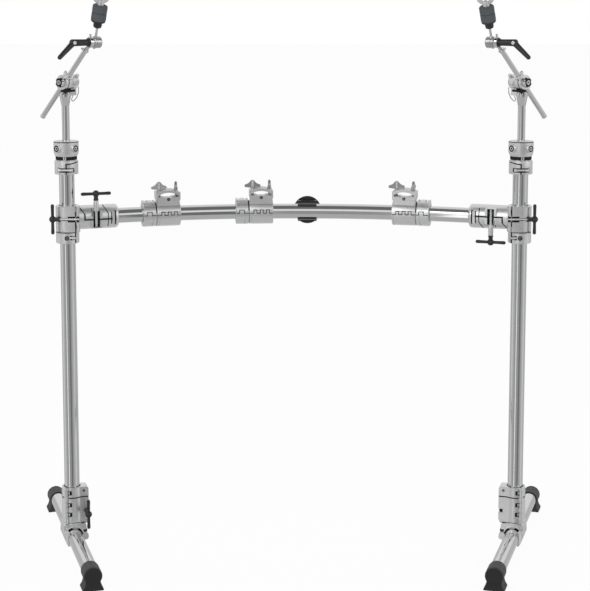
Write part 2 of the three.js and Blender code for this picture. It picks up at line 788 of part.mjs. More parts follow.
function feltShape() {
  const f = felts;
  const profile = [
    new THREE.Vector2(f.bore, f.seatStart),
    new THREE.Vector2(f.seatRadius, f.seatStart),
    new THREE.Vector2(f.seatRadius, f.seatEnd),
    new THREE.Vector2(f.radius, f.seatEnd),
    new THREE.Vector2(f.radius, f.seam - f.seamWidth / 2),
    new THREE.Vector2(f.radius - f.seamDepth, f.seam),
    new THREE.Vector2(f.radius, f.seam + f.seamWidth / 2),
    new THREE.Vector2(f.radius, f.top),
    new THREE.Vector2(f.bore, f.top),
    new THREE.Vector2(f.bore, f.seatStart),
  ];
  const shape = new THREE.LatheGeometry(profile, castSides).rotateX(Math.PI / 2);
  return shape.translate(barrel.rodAlong, 0, 0);
}

function topNutShape() {
  const n = topNut;
  const nut = wings(n.hubRadius, n.hubLength, n.span, n.wingHeight, n.wingThickness, n.lift);
  const bore = rod(barrel.rodRadius + fitGap, -cutOverrun, n.hubLength + n.wingHeight, smallSides);
  return cut(nut, bore).translate(barrel.rodAlong, 0, n.start);
}

// Rack bar: straight ends inside the bar clamps, one arc between them
function barPoint(share) {
  const angle = splayAngle * share;
  return new THREE.Vector3(barRadius * Math.sin(angle), barBow - barRadius * (1 - Math.cos(angle)), 0);
}

function rackBarShape() {
  const path = [];
  const inner = new THREE.Vector3(Math.cos(splayAngle), Math.sin(splayAngle), 0);
  const leftEnd = new THREE.Vector3(-legSpacing / 2, 0, 0).addScaledVector(inner, barClamp.barStart);
  path.push(leftEnd);
  for (let i = 0; i <= barSteps; i += 1) {
    path.push(barPoint(i * 2 / barSteps - 1));
  }
  path.push(new THREE.Vector3(-leftEnd.x, leftEnd.y, 0));
  const outerSkin = sweptTube(path, tubeRadius, tubeSides);
  const innerSkin = sweptTube(extended(path), tubeRadius - tubeWall, boreSides);
  return cut(outerSkin, innerSkin);
}

function extended(path) {
  const first = path[0].clone().addScaledVector(path[1].clone().sub(path[0]).normalize(), -cutOverrun);
  const count = path.length;
  const last = path[count - 1].clone();
  last.addScaledVector(path[count - 1].clone().sub(path[count - 2]).normalize(), cutOverrun);
  return [first, ...path.slice(1, count - 1), last];
}

function sweptTube(path, radius, sides) {
  const curve = new THREE.CurvePath();
  for (let i = 0; i + 1 < path.length; i += 1) {
    curve.add(new THREE.LineCurve3(path[i], path[i + 1]));
  }
  const section = new THREE.Shape();
  for (let i = 0; i < sides; i += 1) {
    const angle = Math.PI * 2 * i / sides;
    const corner = new THREE.Vector2(radius * Math.cos(angle), radius * Math.sin(angle));
    if (i === 0) {
      section.moveTo(corner.x, corner.y);
    } else {
      section.lineTo(corner.x, corner.y);
    }
  }
  section.closePath();
  return new THREE.ExtrudeGeometry(section, { steps: barSteps, extrudePath: curve, bevelEnabled: false });
}

function badgeShape() {
  const b = badge;
  const back = tubeRadius + fitGap + b.saddleDepth / 2;
  const disc = alongY(rod(b.radius, back, back + b.thickness));
  const half = b.saddleWidth / 2;
  const pad = block(-half, half, tubeRadius / 4, back, -b.saddleHeight / 2, b.saddleHeight / 2);
  const clip = alongX(rod(b.clipRadius, -half, half));
  const grip = overlap(clip, block(-half, half, -b.clipReach, back, -b.clipRadius, b.clipRadius));
  const bore = alongX(rod(tubeRadius + b.boreRoom, -b.saddleWidth, b.saddleWidth));
  return cut(join(disc, pad, grip), bore);
}

// Accessory clamp, in the frame of the bar's axis at the clamp: X along the bar, Y away from the drummer
const accessoryBore = tubeRadius + accessory.boreRoom;

// Places of the knuckles along the hinge: the door's, and the block's between them
function knuckleSpans(onDoor) {
  const a = accessory;
  const width = a.halfLength * a.knuckleWidthShare;
  return a.knuckleShares.map((share) => {
    const start = a.halfLength * share + (onDoor ? 0 : width);
    return [start + fitGap / 2, start + width - fitGap / 2];
  });
}

function hingeRod(radius, from, to) {
  return alongX(rod(radius, from, to, smallSides)).translate(0, accessory.hingeY, accessory.hingeZ);
}

function accessoryBlockShape() {
  const a = accessory;
  const round = alongX(rod(a.radius, -a.halfLength, a.halfLength));
  const halfRound = overlap(round, block(-a.halfLength, a.halfLength, -a.radius, a.radius, fitGap, a.radius));
  const column = block(-a.halfLength, a.halfLength, -a.blockDepth, a.blockDepth, fitGap, a.blockTop);
  const bore = alongX(rod(accessoryBore, -a.halfLength - cutOverrun, a.halfLength + cutOverrun));
  const vee = plate([[-a.vHalf, a.blockTop + cutOverrun], [-a.vHalf, a.blockTop], [0, a.blockTop - a.vDepth],
    [a.vHalf, a.blockTop], [a.vHalf, a.blockTop + cutOverrun]], -a.radius, a.radius);
  vee.rotateX(Math.PI / 2);
  const boltWays = [-a.boltX, a.boltX].map((x) => (
    rod(a.boltRadius + fitGap, a.boltBottom - fitGap, a.blockTop + cutOverrun, smallSides).translate(x, 0, 0)
  ));
  const doorRoom = knuckleSpans(true).map(([from, to]) => join(
    hingeRod(a.knuckleRadius + fitGap, from - fitGap, to + fitGap),
    block(from - fitGap, to + fitGap, -a.blockDepth * 2, a.hingeY + a.knuckleRadius / 2 + fitGap,
      0, a.hingeZ),
  ));
  const body = cut(join(halfRound, column), bore, vee, ...boltWays, ...doorRoom);
  const lug = block(-a.backLugHalf, a.backLugHalf, a.blockDepth, a.backLugDepth, fitGap, a.backLugHalf);
  const knuckles = knuckleSpans(false).map(([from, to]) => hingeRod(a.knuckleRadius, from, to));
  return join(body, cut(lug, bore), ...knuckles);
}

function accessoryDoorShape() {
  const a = accessory;
  const round = alongX(rod(a.radius, -a.halfLength, a.halfLength));
  const half = overlap(round, block(-a.halfLength, a.halfLength, -a.radius, a.radius, -a.radius, -fitGap));
  const bore = alongX(rod(accessoryBore, -a.halfLength - cutOverrun, a.halfLength + cutOverrun));
  const lug = block(-a.backLugHalf, a.backLugHalf, a.blockDepth, a.backLugDepth, -a.backLugHalf, -fitGap);
  const knuckles = knuckleSpans(true).map(([from, to]) => join(
    hingeRod(a.knuckleRadius, from, to),
    block(from, to, a.hingeY - a.knuckleRadius / 2, a.hingeY + a.knuckleRadius / 2,
      -a.knuckleRadius, a.hingeZ),
  ));
  return join(cut(join(half, lug), bore), ...knuckles);
}

function accessoryCapShape() {
  const a = accessory;
  const arch = new THREE.Shape();
  const capTop = a.capFloor + a.capThickness;
  arch.moveTo(-a.capHalf, a.capFloor);
  arch.quadraticCurveTo(0, a.capFloor + a.archRise * 2, a.capHalf, a.capFloor);
  arch.lineTo(a.capHalf, capTop);
  arch.quadraticCurveTo(0, capTop + a.capRise * 2, -a.capHalf, capTop);
  arch.closePath();
  const depth = a.blockDepth * 2;
  const cap = new THREE.ExtrudeGeometry(arch, { depth, bevelEnabled: false, curveSegments: smallSides / 2 });
  cap.rotateX(Math.PI / 2);
  cap.translate(0, a.blockDepth, 0);
  const feet = [-1, 1].map((side) => block(
    side * a.capHalf - a.wingHub / 2, side * a.capHalf + a.wingHub / 2,
    -a.blockDepth, a.blockDepth, a.blockTop + fitGap, capTop,
  ));
  const trim = block(-a.halfLength, a.halfLength, -a.radius, a.radius, 0, a.blockTop * 2);
  const boltWays = [-a.boltX, a.boltX].map((x) => (
    rod(a.boltRadius + fitGap, a.blockTop, a.blockTop * 2, smallSides).translate(x, 0, 0)
  ));
  const seats = [-a.boltX, a.boltX].map((x) => (
    rod(a.wingHub + fitGap * 2, wingSeat(), a.blockTop * 2, smallSides).translate(x, 0, 0)
  ));
  return cut(overlap(join(cap, ...feet), trim), ...boltWays, ...seats);
}

function wingSeat() {
  return accessory.capFloor + accessory.capThickness;
}

function wingBoltShape(turn) {
  const a = accessory;
  const seat = wingSeat() + fitGap;
  const outline = peakedWingShares.map(([x, z]) => [x * a.wingSpan / 2, z * a.wingHeight]);
  const wing = plate(outline, -a.wingThickness / 2, a.wingThickness / 2);
  const top = join(rod(a.wingHub, 0, a.wingHubHeight, smallSides), wing.rotateX(Math.PI / 2));
  top.rotateZ(THREE.MathUtils.degToRad(turn));
  return join(rod(a.boltRadius, a.boltBottom, seat + a.wingHubHeight, smallSides), top.translate(0, 0, seat));
}

function accessoryCollarShape() {
  const a = accessory;
  const half = a.collarLength / 2;
  const crownTop = a.radius + a.crownRise;
  const crown = overlap(
    alongX(ring(crownTop, accessoryBore, -half, half)),
    block(-half, half, -a.crownHalf, a.crownHalf, tubeRadius, crownTop),
  );
  const collar = join(alongX(ring(a.radius, accessoryBore, -half, half)), crown);
  const notches = [-half / 2, half / 2].map((middle) => (
    block(middle - a.collarNotch / 2, middle + a.collarNotch / 2, -a.radius, a.radius,
      a.radius, crownTop + cutOverrun)
  ));
  const slit = block(-half - cutOverrun, half + cutOverrun, -a.radius - cutOverrun, 0, 0, fitGap * 4);
  return cut(collar, ...notches, slit);
}

// Assembly
function piece(parent, name, geometry, material) {
  const mesh = new THREE.Mesh(toGeometry(toSolid(geometry)), material);
  mesh.name = name;
  parent.add(mesh);
  return mesh;
}

function frameIn(parent, x, y, z, turnX = 0, turnY = 0, turnZ = 0) {
  const group = new THREE.Group();
  group.position.set(x, y, z);
  group.rotation.set(turnX, turnY, turnZ);
  parent.add(group);
  return group;
}

function frameOnBar(parent, angle) {
  const point = barPoint(angle / splayAngle);
  return frameIn(parent, point.x, point.y, barHeight, 0, 0, -angle);
}

function buildBase(rack, side, hand) {
  const own = (geometry) => (hand < 0 ? mirrored(geometry) : geometry);
  const handleOnDoor = hand > 0;
  const frame = frameIn(rack, -hand * legSpacing / 2, 0, 0, 0, 0, hand * baseYaw);
  piece(frame, `${side}_base_tube`, own(baseTubeShape()), chrome);
  piece(frame, `${side}_front_foot`, own(footShape()), rubber);
  piece(frame, `${side}_rear_foot`, own(footShape().rotateZ(Math.PI)), rubber);
  piece(frame, `${side}_base_clamp`, own(baseClampShape(handleOnDoor)), castChrome);
  piece(frame, `${side}_base_door`, own(baseDoorShape(handleOnDoor)), castChrome);
  const h = baseHandle;
  const grip = tHandle(h.neckStart + (handleOnDoor ? h.frontTip : -h.backTip), h.neckLength, h.ballOffset);
  grip.rotateZ(Math.PI / 2);
  const pointed = handleOnDoor ? alongMinusY(grip) : alongY(grip);
  pointed.translate(baseClamp.boltX, handleOnDoor ? h.frontTip : h.backTip, baseClamp.boltHeight);
  piece(frame, `${side}_base_handle`, own(pointed), blackPlastic);
}

function buildLeg(rack, side, hand) {
  const frame = frameIn(rack, -hand * legSpacing / 2, 0, 0);
  const own = (geometry) => (hand < 0 ? mirrored(geometry) : geometry);
  const tube = ring(tubeRadius, tubeRadius - tubeWall, legTube.bottom, legTop, tubeSides);
  piece(frame, `${side}_leg_tube`, tube, chrome);
  const lockBottom = barHeight - barClamp.halfHeight - fitGap - memoryLock.height;
  piece(frame, `${side}_memory_lock`, own(memoryLockShape().translate(0, 0, lockBottom)), castChrome);
  piece(frame, `${side}_top_clamp`, own(topClampShape()), castChrome);
}

function buildBarClamp(rack, side, hand) {
  const turn = hand < 0 ? Math.PI : 0;
  const frame = frameIn(rack, -hand * legSpacing / 2, 0, barHeight, 0, turn, 0);
  piece(frame, `${side}_bar_clamp`, barClampShape(), castChrome);
  piece(frame, `${side}_leg_door`, legDoorShape(), castChrome);
  piece(frame, `${side}_leg_handle`, legHandleShape(), blackPlastic);
  piece(frame, `${side}_branch_handle`, branchHandleShape(), blackPlastic);
}

function buildBoom(rack, side, hand, cymbal) {
  const own = (geometry) => (hand < 0 ? mirrored(geometry) : geometry);
  const pivotHeight = topClampTop + boom.pivotRise;
  const frame = frameIn(rack, -hand * legSpacing / 2, 0, pivotHeight, 0, 0, hand * boom.facing);
  piece(frame, `${side}_boom_post`, own(boomPostShape()), chrome);
  piece(frame, `${side}_tilter_head`, own(tilterHeadShape()), castChrome);
  const up = new THREE.Vector3(Math.sin(boom.lean), 0, Math.cos(boom.lean)).multiplyScalar(arm.upper);
  const toward = cymbal.yaw - boom.facing;
  piece(frame, `${side}_boom_arm`, own(boomArmShape(toward)), chrome);
  const eyeFrame = frameIn(frame, hand * up.x, 0, up.z, 0, 0, hand * toward);
  const leaned = (geometry) => own(geometry.rotateX(cymbal.lean));
  piece(eyeFrame, `${side}_cymbal_rod`, leaned(barrelShape()), chrome);
  piece(eyeFrame, `${side}_tilter_lever`, own(leverShape()), blackPlastic);
  piece(eyeFrame, `${side}_cymbal_felts`, leaned(feltShape()), felt);
  piece(eyeFrame, `${side}_wing_nut`, leaned(topNutShape()), chrome);
}

function buildAccessoryClamp(rack, place) {
  const angle = Math.asin(legSpacing * place.placeShare / barRadius);
  const frame = frameOnBar(rack, angle);
  const name = `${place.name}_bar_mount`;
  const collarStep = (accessory.halfLength + accessory.collarGap + accessory.collarLength / 2) / barRadius;
  const collarFrame = frameOnBar(rack, angle + place.collarSide * collarStep);
  piece(collarFrame, `${name}_collar`, accessoryCollarShape(), castChrome);
  piece(frame, `${name}_block`, accessoryBlockShape(), castChrome);
  piece(frame, `${name}_door`, accessoryDoorShape(), castChrome);
  piece(frame, `${name}_cap`, accessoryCapShape(), castChrome);
  const [firstTurn, secondTurn] = place.wingTurns;
  const { boltX } = accessory;
  piece(frame, `${name}_left_wing`, wingBoltShape(firstTurn).translate(-boltX, 0, 0), chrome);
  piece(frame, `${name}_right_wing`, wingBoltShape(secondTurn).translate(boltX, 0, 0), chrome);
}

const rack = new THREE.Group();
const leftCymbal = { yaw: THREE.MathUtils.degToRad(33), lean: THREE.MathUtils.degToRad(20) };
const rightCymbal = { yaw: THREE.MathUtils.degToRad(30), lean: THREE.MathUtils.degToRad(24) };
const sides = [
  { name: 'left', hand: 1, cymbal: leftCymbal },
  { name: 'right', hand: -1, cymbal: rightCymbal },
];
for (const side of sides) {
  buildBase(rack, side.name, side.hand);
  buildLeg(rack, side.name, side.hand);
  buildBarClamp(rack, side.name, side.hand);
  buildBoom(rack, side.name, side.hand, side.cymbal);
}
piece(frameIn(rack, 0, 0, barHeight), 'rack_bar', rackBarShape(), chrome);
for (const place of clampPlaces) {
  buildAccessoryClamp(rack, place);
}
piece(frameOnBar(rack, Math.asin(badge.x / barRadius)), 'badge', badgeShape(), blackPlastic);

export default rack;
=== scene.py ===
"""Drum rack frame: finishes, fine shapes, studio and camera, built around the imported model.

Forms are worked out in millimetres and placed in metres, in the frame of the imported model: +Z up,
the drummer at -Y, the floor at zero.
"""
import math
from types import SimpleNamespace as Sizes

import bmesh
import bpy
from mathutils import Matrix, Vector


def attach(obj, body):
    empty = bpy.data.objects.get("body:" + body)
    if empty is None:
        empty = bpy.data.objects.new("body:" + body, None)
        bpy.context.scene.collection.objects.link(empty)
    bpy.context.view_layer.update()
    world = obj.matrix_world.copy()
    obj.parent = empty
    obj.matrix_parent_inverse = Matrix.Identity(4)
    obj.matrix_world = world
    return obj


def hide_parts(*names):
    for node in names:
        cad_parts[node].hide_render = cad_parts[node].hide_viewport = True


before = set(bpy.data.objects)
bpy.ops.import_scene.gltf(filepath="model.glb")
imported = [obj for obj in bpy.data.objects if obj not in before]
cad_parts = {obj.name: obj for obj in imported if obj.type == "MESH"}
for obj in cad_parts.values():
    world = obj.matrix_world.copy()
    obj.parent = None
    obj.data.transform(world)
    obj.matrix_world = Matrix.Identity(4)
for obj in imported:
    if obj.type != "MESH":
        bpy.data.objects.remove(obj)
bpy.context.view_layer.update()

# Layout, in millimetres
METRES = 0.001
HALF_SPACING = 563.5
BAR_HEIGHT = 848.0
BAR_STRAIGHT = 140.0
SPLAY = math.radians(18)
BASE_YAW = math.radians(16.8)
GAP = 0.3
TURN_GAP = 0.6
OVERRUN = 3.0
MERGE = 0.001
RECESS = 0.4
BAR_BOW_RADIUS = (HALF_SPACING - BAR_STRAIGHT * math.cos(SPLAY)) / math.sin(SPLAY)
BAR_BOW = BAR_STRAIGHT * math.sin(SPLAY) + BAR_BOW_RADIUS * (1 - math.cos(SPLAY))

# Round faces
TUBE_ROUND = 96
ROUND = 64
SMALL_ROUND = 32

# Tubes
TUBE_RADIUS = 19.05
TUBE_WALL = 1.6
TUBE_BORE = TUBE_RADIUS + GAP
LEG_BOTTOM = 60.3
LEG_LENGTH = 938.0
BASE_AXIS = 36.0
BASE_LENGTH = 611.0

# Edge rounding and the angle past which an edge counts as one
CASTING_EDGE = 0.7
PLASTIC_EDGE = 0.9
FINE_EDGE = 0.3
EDGE_ANGLE = math.radians(32)


class Form:
    """A closed mesh in millimetres that can be joined, cut, turned and moved."""

    def __init__(self, mesh):
        self.mesh = mesh

    def combined(self, other, operation):
        scene = bpy.context.scene.collection
        pair = [bpy.data.objects.new("work", form.mesh) for form in (self, other)]
        for item in pair:
            scene.objects.link(item)
        step = pair[0].modifiers.new("combine", "BOOLEAN")
        step.operation = operation
        step.solver = "MANIFOLD"
        step.object = pair[1]
        graph = bpy.context.evaluated_depsgraph_get()
        result = bpy.data.meshes.new_from_object(pair[0].evaluated_get(graph))
        for item in pair:
            bpy.data.objects.remove(item)
        return Form(result)

    def __add__(self, other):
        return self.combined(other, "UNION")

    def __sub__(self, other):
        return self.combined(other, "DIFFERENCE")

    def __and__(self, other):
        return self.combined(other, "INTERSECT")

    def changed(self, matrix):
        mesh = self.mesh.copy()
        mesh.transform(matrix)
        if matrix.determinant() < 0:
            mesh.flip_normals()
        return Form(mesh)

    def turned(self, axis, angle):
        return self.changed(Matrix.Rotation(angle, 4, axis))

    def moved(self, x=0.0, y=0.0, z=0.0):
        return self.changed(Matrix.Translation((x, y, z)))

    def mirrored(self):
        return self.changed(Matrix.Scale(-1, 4, (1, 0, 0)))


def form_of(corners, faces):
    mesh = bpy.data.meshes.new("form")
    mesh.from_pydata([tuple(corner) for corner in corners], [], faces)
    mesh.update()
    return Form(mesh)


def lathe(profile, sides=ROUND):
    """Turns a profile of (radius, height) points round Z.

    The profile starts and ends on the axis, or closes on itself.
    """
    closed = profile[0][0] > 0
    corners = []
    rings = []
    for radius, height in profile:
        if radius <= 0:
            rings.append([len(corners)])
            corners.append((0, 0, height))
            continue
        rings.append(list(range(len(corners), len(corners) + sides)))
        for step in range(sides):
            angle = math.tau * step / sides
            corners.append((radius * math.cos(angle), radius * math.sin(angle), height))
    pairs = list(zip(rings, rings[1:] + rings[:1])) if closed else list(zip(rings, rings[1:]))
    faces = []
    for lower, upper in pairs:
        for step in range(sides):
            following = (step + 1) % sides
            if len(lower) == 1:
                faces.append((lower[0], upper[following], upper[step]))
            elif len(upper) == 1:
                faces.append((lower[step], lower[following], upper[0]))
            else:
                faces.append((lower[step], lower[following], upper[following], upper[step]))
    return form_of(corners, faces)


def rod(radius, start, end, sides=ROUND, top_radius=None):
    top = radius if top_radius is None else top_radius
    return lathe([(0, start), (radius, start), (top, end), (0, end)], sides)


def ring(outer, inner, start, end, sides=ROUND):
    return lathe([(inner, start), (outer, start), (outer, end), (inner, end)], sides)


def soft_ring(outer, inner, start, end, corner, sides=ROUND):
    """A ring whose outer edges are rounded."""
    profile = [(inner, start), (outer - corner, start), (outer, start + corner),
               (outer, end - corner), (outer - corner, end), (inner, end)]
    return lathe(profile, sides)


def plate(outline, start, end):
    count = len(outline)
    corners = [(x, y, start) for x, y in outline] + [(x, y, end) for x, y in outline]
    faces = [tuple(reversed(range(count))), tuple(range(count, 2 * count))]
    for step in range(count):
        following = (step + 1) % count
        faces.append((step, following, following + count, step + count))
    return form_of(corners, faces)


def block(low_x, high_x, low_y, high_y, low_z, high_z):
    outline = [(low_x, low_y), (high_x, low_y), (high_x, high_y), (low_x, high_y)]
    return plate(outline, low_z, high_z)


def along_x(form):
    return form.turned("Y", math.pi / 2)


def along_y(form):
    return form.turned("X", -math.pi / 2)


def along_minus_y(form):
    return form.turned("X", math.pi / 2)


def rod_between(start, end, start_radius, end_radius, sides=SMALL_ROUND):
    way = end - start
    turn = Vector((0, 0, 1)).rotation_difference(way).to_matrix().to_4x4()
    return rod(start_radius, 0, way.length, sides, end_radius).changed(Matrix.Translation(start) @ turn)


def joined(*forms):
    total = forms[0]
    for form in forms[1:]:
        total = total + form
    return total


def without(form, *tools):
    for tool in tools:
        form = form - tool
    return form


def painted_shade(form, *tools):
    """Painted shade for grooves: what the tools take from the form, drawn in on all sides."""
    mesh = (form & joined(*tools)).mesh
    work = bmesh.new()
    work.from_mesh(mesh)
    bmesh.ops.remove_doubles(work, verts=work.verts, dist=MERGE)
    work.normal_update()
    for corner in work.verts:
        corner.co -= corner.normal * RECESS
    work.to_mesh(mesh)
    work.free()
    return Form(mesh)


class Wire:
    """A socket of a node tree. Sums of wires and numbers add Math nodes."""

    def __init__(self, maker, socket):
        self.maker = maker
        self.socket = socket

    def maths(self, operation, *values):
        places = {index: value for index, value in enumerate(values)}
        return self.maker.node(self.maker.maths_kind, {"operation": operation}, places)

    def __add__(self, other):
        return self.maths("ADD", self, other)

    def __sub__(self, other):
        return self.maths("SUBTRACT", self, other)

    def __rsub__(self, other):
        return self.maths("SUBTRACT", other, self)

    def __mul__(self, other):
        return self.maths("MULTIPLY", self, other)

    def __truediv__(self, other):
        return self.maths("DIVIDE", self, other)

    __radd__ = __add__
    __rmul__ = __mul__


class Maker:
    """Adds nodes to one tree: a type, its settings, and the values or links of its sockets."""

    maths_kind = "ShaderNodeMath"

    def __init__(self, tree):
        self.tree = tree

    def node(self, kind, settings=None, places=None, output=0):
        node = self.tree.nodes.new(kind)
        for name, value in (settings or {}).items():
            if name == "stops":
                self.set_stops(node.color_ramp, value)
            else:
                setattr(node, name, value)
        for place, value in (places or {}).items():
            if isinstance(value, Wire):
                self.tree.links.new(value.socket, node.inputs[place])
            else:
                node.inputs[place].default_value = value
        return Wire(self, node.outputs[output]) if len(node.outputs) else None

    def set_stops(self, ramp, stops):
        while len(ramp.elements) < len(stops):
            ramp.elements.new(0.5)
        for element, (position, colour) in zip(ramp.elements, stops):
            element.position = position
            element.color = colour

    def spread(self, wire, low, high):
        """Maps 0..1 to low..high, held within them."""
        places = {"Value": wire, "To Min": low, "To Max": high}
        return self.node("ShaderNodeMapRange", None, places, "Result")

    def between(self, wire, start, end):
        """0 below start, 1 above end, smooth in the middle."""
        settings = {"interpolation_type": "SMOOTHSTEP"}
        places = {"Value": wire, "From Min": start, "From Max": end}
        return self.node("ShaderNodeMapRange", settings, places, "Result")

    def mixed(self, factor, first, second):
        settings = {"data_type": "RGBA"}
        return self.node("ShaderNodeMix", settings, {"Factor": factor, 6: first, 7: second}, 2)

    def noise(self, vector, scale, detail=3.0, roughness=0.5):
        places = {"Vector": vector, "Scale": scale, "Detail": detail, "Roughness": roughness}
        return self.node("ShaderNodeTexNoise", None, places, 0)


def grey(level, alpha=1.0):
    return (level, level, level, alpha)


def new_finish(name):
    material = bpy.data.materials.new(name)
    material.use_nodes = True
    material.node_tree.nodes.clear()
    maker = Maker(material.node_tree)
    here = maker.node("ShaderNodeTexCoord", output="Object")
    return material, maker, here


def close_finish(maker, places):
    shader = maker.node("ShaderNodeBsdfPrincipled", None, places)
    maker.node("ShaderNodeOutputMaterial", None, {"Surface": shader})


def bump(maker, height, strength, distance):
    return maker.node("ShaderNodeBump", None, {"Height": height, "Strength": strength, "Distance": distance})


def chrome_finish(name, level, sheen_low, sheen_high, ripple):
    """Polished plate: faint wipe marks in the gloss, and a slight ripple of the metal under it."""
    material, maker, here = new_finish(name)
    wipes = maker.noise(here, 42.0, 4.0, 0.62)
    fine = maker.noise(here, 620.0, 2.0)
    ripples = maker.noise(here, 55.0, 1.0)
    shade = maker.mixed(wipes, grey(level * 0.93), (level * 1.04, level * 1.045, level * 1.06, 1))
    gloss = maker.spread(wipes * 0.75 + fine * 0.25, sheen_low, sheen_high)
    close_finish(maker, {
        "Base Color": shade,
        "Metallic": 1.0,
        "Roughness": gloss,
        "Normal": bump(maker, ripples + fine * 0.08, ripple, 0.0006),
    })
    return material


def plastic_finish(name, level, sheen_low, sheen_high, grain_scale):
    """Moulded plastic: fine grain, with worn, paler patches where it is handled."""
    material, maker, here = new_finish(name)
    grain = maker.noise(here, grain_scale, 2.0)
    handling = maker.noise(here, 38.0, 5.0, 0.7)
    worn = maker.between(handling, 0.52, 0.72)
    shade = maker.mixed(worn * 0.5, grey(level), grey(level * 2.1))
    close_finish(maker, {
        "Base Color": shade,
        "Roughness": maker.spread(handling, sheen_low, sheen_high),
        "Normal": bump(maker, grain, 0.35, 0.0002),
    })
    return material


def rubber_finish(name, level):
    """Matte rubber with grain, and dust that gathers towards the floor."""
    material, maker, here = new_finish(name)
    grain = maker.noise(here, 1400.0, 3.0, 0.6)
    patches = maker.noise(here, 60.0, 5.0, 0.65)
    height = maker.node("ShaderNodeSeparateXYZ", None, {"Vector": here}, "Z")
    low = 1 - maker.between(height, 0.0, 0.016)
    dust = low * 0.35 + maker.between(patches, 0.5, 0.75) * 0.3
    shade = maker.mixed(dust, grey(level), (level * 1.9, level * 1.87, level * 1.78, 1))
    close_finish(maker, {
        "Base Color": shade,
        "Roughness": maker.spread(patches, 0.55, 0.82),
        "Normal": bump(maker, grain + patches, 0.4, 0.0003),
    })
    return material


def felt_finish(name):
    """Pressed felt: matted fibres in two sizes, with lighter tips."""
    material, maker, here = new_finish(name)
    stretched = maker.node("ShaderNodeMapping", None, {"Vector": here, "Scale": (1.0, 1.0, 2.2)})
    fibres = maker.noise(stretched, 1500.0, 6.0, 0.75)
    tufts = maker.noise(here, 260.0, 4.0, 0.6)
    tips = maker.between(fibres, 0.5, 0.72)
    shade = maker.mixed(tips * 0.6 + tufts * 0.25, (0.072, 0.080, 0.088, 1), (0.165, 0.180, 0.195, 1))
    close_finish(maker, {
        "Base Color": shade,
        "Roughness": maker.spread(tufts, 0.86, 0.98),
        "Normal": bump(maker, fibres + tufts * 0.8, 0.75, 0.0009),
    })
    return material


TUBE_CHROME = chrome_finish("tube chrome", 0.62, 0.07, 0.13, 0.05)
CAST_CHROME = chrome_finish("casting chrome", 0.72, 0.34, 0.50, 0.30)
WING_CHROME = chrome_finish("wing chrome", 0.46, 0.26, 0.42, 0.30)
DARK_STEEL = chrome_finish("dark steel", 0.20, 0.28, 0.42, 0.20)
BLACK_PLASTIC = plastic_finish("black plastic", 0.014, 0.36, 0.52, 900.0)
# Dull near-black plastic: painted shade in grooves, gaps, slots and under parts, and the dark ring in the top
# clamp's waist
BLACK_AND_SHADE_PLASTIC = plastic_finish("lining plastic", 0.004, 0.80, 0.95, 700.0)
BADGE_PLASTIC = plastic_finish("badge plastic", 0.012, 0.22, 0.34, 1300.0)
RUBBER = rubber_finish("foot rubber", 0.034)
# Lighter copy of the foot rubber for the ribs: a painted highlight on their crests
RIB_HIGHLIGHT_RUBBER = rubber_finish("rib rubber", 0.13)
FACE_RUBBER = rubber_finish("foot face rubber", 0.010)
FELT = felt_finish("cymbal felt")


def shaded(mesh):
    """Smooth faces, with sharp edges where the surface turns."""
    work = bmesh.new()
    work.from_mesh(mesh)
    bmesh.ops.remove_doubles(work, verts=work.verts, dist=MERGE * METRES * 10)
    bmesh.ops.recalc_face_normals(work, faces=work.faces)
    for face in work.faces:
        face.smooth = True
    for edge in work.edges:
        edge.smooth = len(edge.link_faces) == 2 and edge.calc_face_angle(0.0) < EDGE_ANGLE
    work.to_mesh(mesh)
    work.free()


def place(name, form, matrix, body, material, slot, nodes=(), edge=CASTING_EDGE):
    """Makes a form a piece of the scene, in metres, on its body, in place of its solids."""
    mesh = form.mesh.copy()
    mesh.name = name
    mesh.transform(Matrix.Scale(METRES, 4) @ matrix)
    shaded(mesh)
    mesh.materials.clear()
    mesh.materials.append(material)
    piece = bpy.data.objects.new(name, mesh)
    bpy.context.scene.collection.objects.link(piece)
    if edge > 0:
        rounding = piece.modifiers.new("edges", "BEVEL")
        rounding.width = edge * METRES
        rounding.segments = 2
        rounding.limit_method = "ANGLE"
        rounding.angle_limit = EDGE_ANGLE
        rounding.use_clamp_overlap = True
        rounding.harden_normals = True
    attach(piece, body)
    if nodes:
        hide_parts(*nodes)
    return piece


def place_with_shade(name, forms, matrix, body, nodes, edge=CASTING_EDGE):
    """A casting, and the near-black filler that paints shade into its grooves and gaps."""
    casting, dark = forms
    place(f"{name}_skin", casting, matrix, body, CAST_CHROME, "chrome_casting", nodes, edge)
    place(f"{name}_lining", dark, matrix, body, BLACK_AND_SHADE_PLASTIC, "black_plastic", [], 0)


def spot(x, y, z, turn=0.0):
    return Matrix.Translation((x, y, z)) @ Matrix.Rotation(turn, 4, "Z")


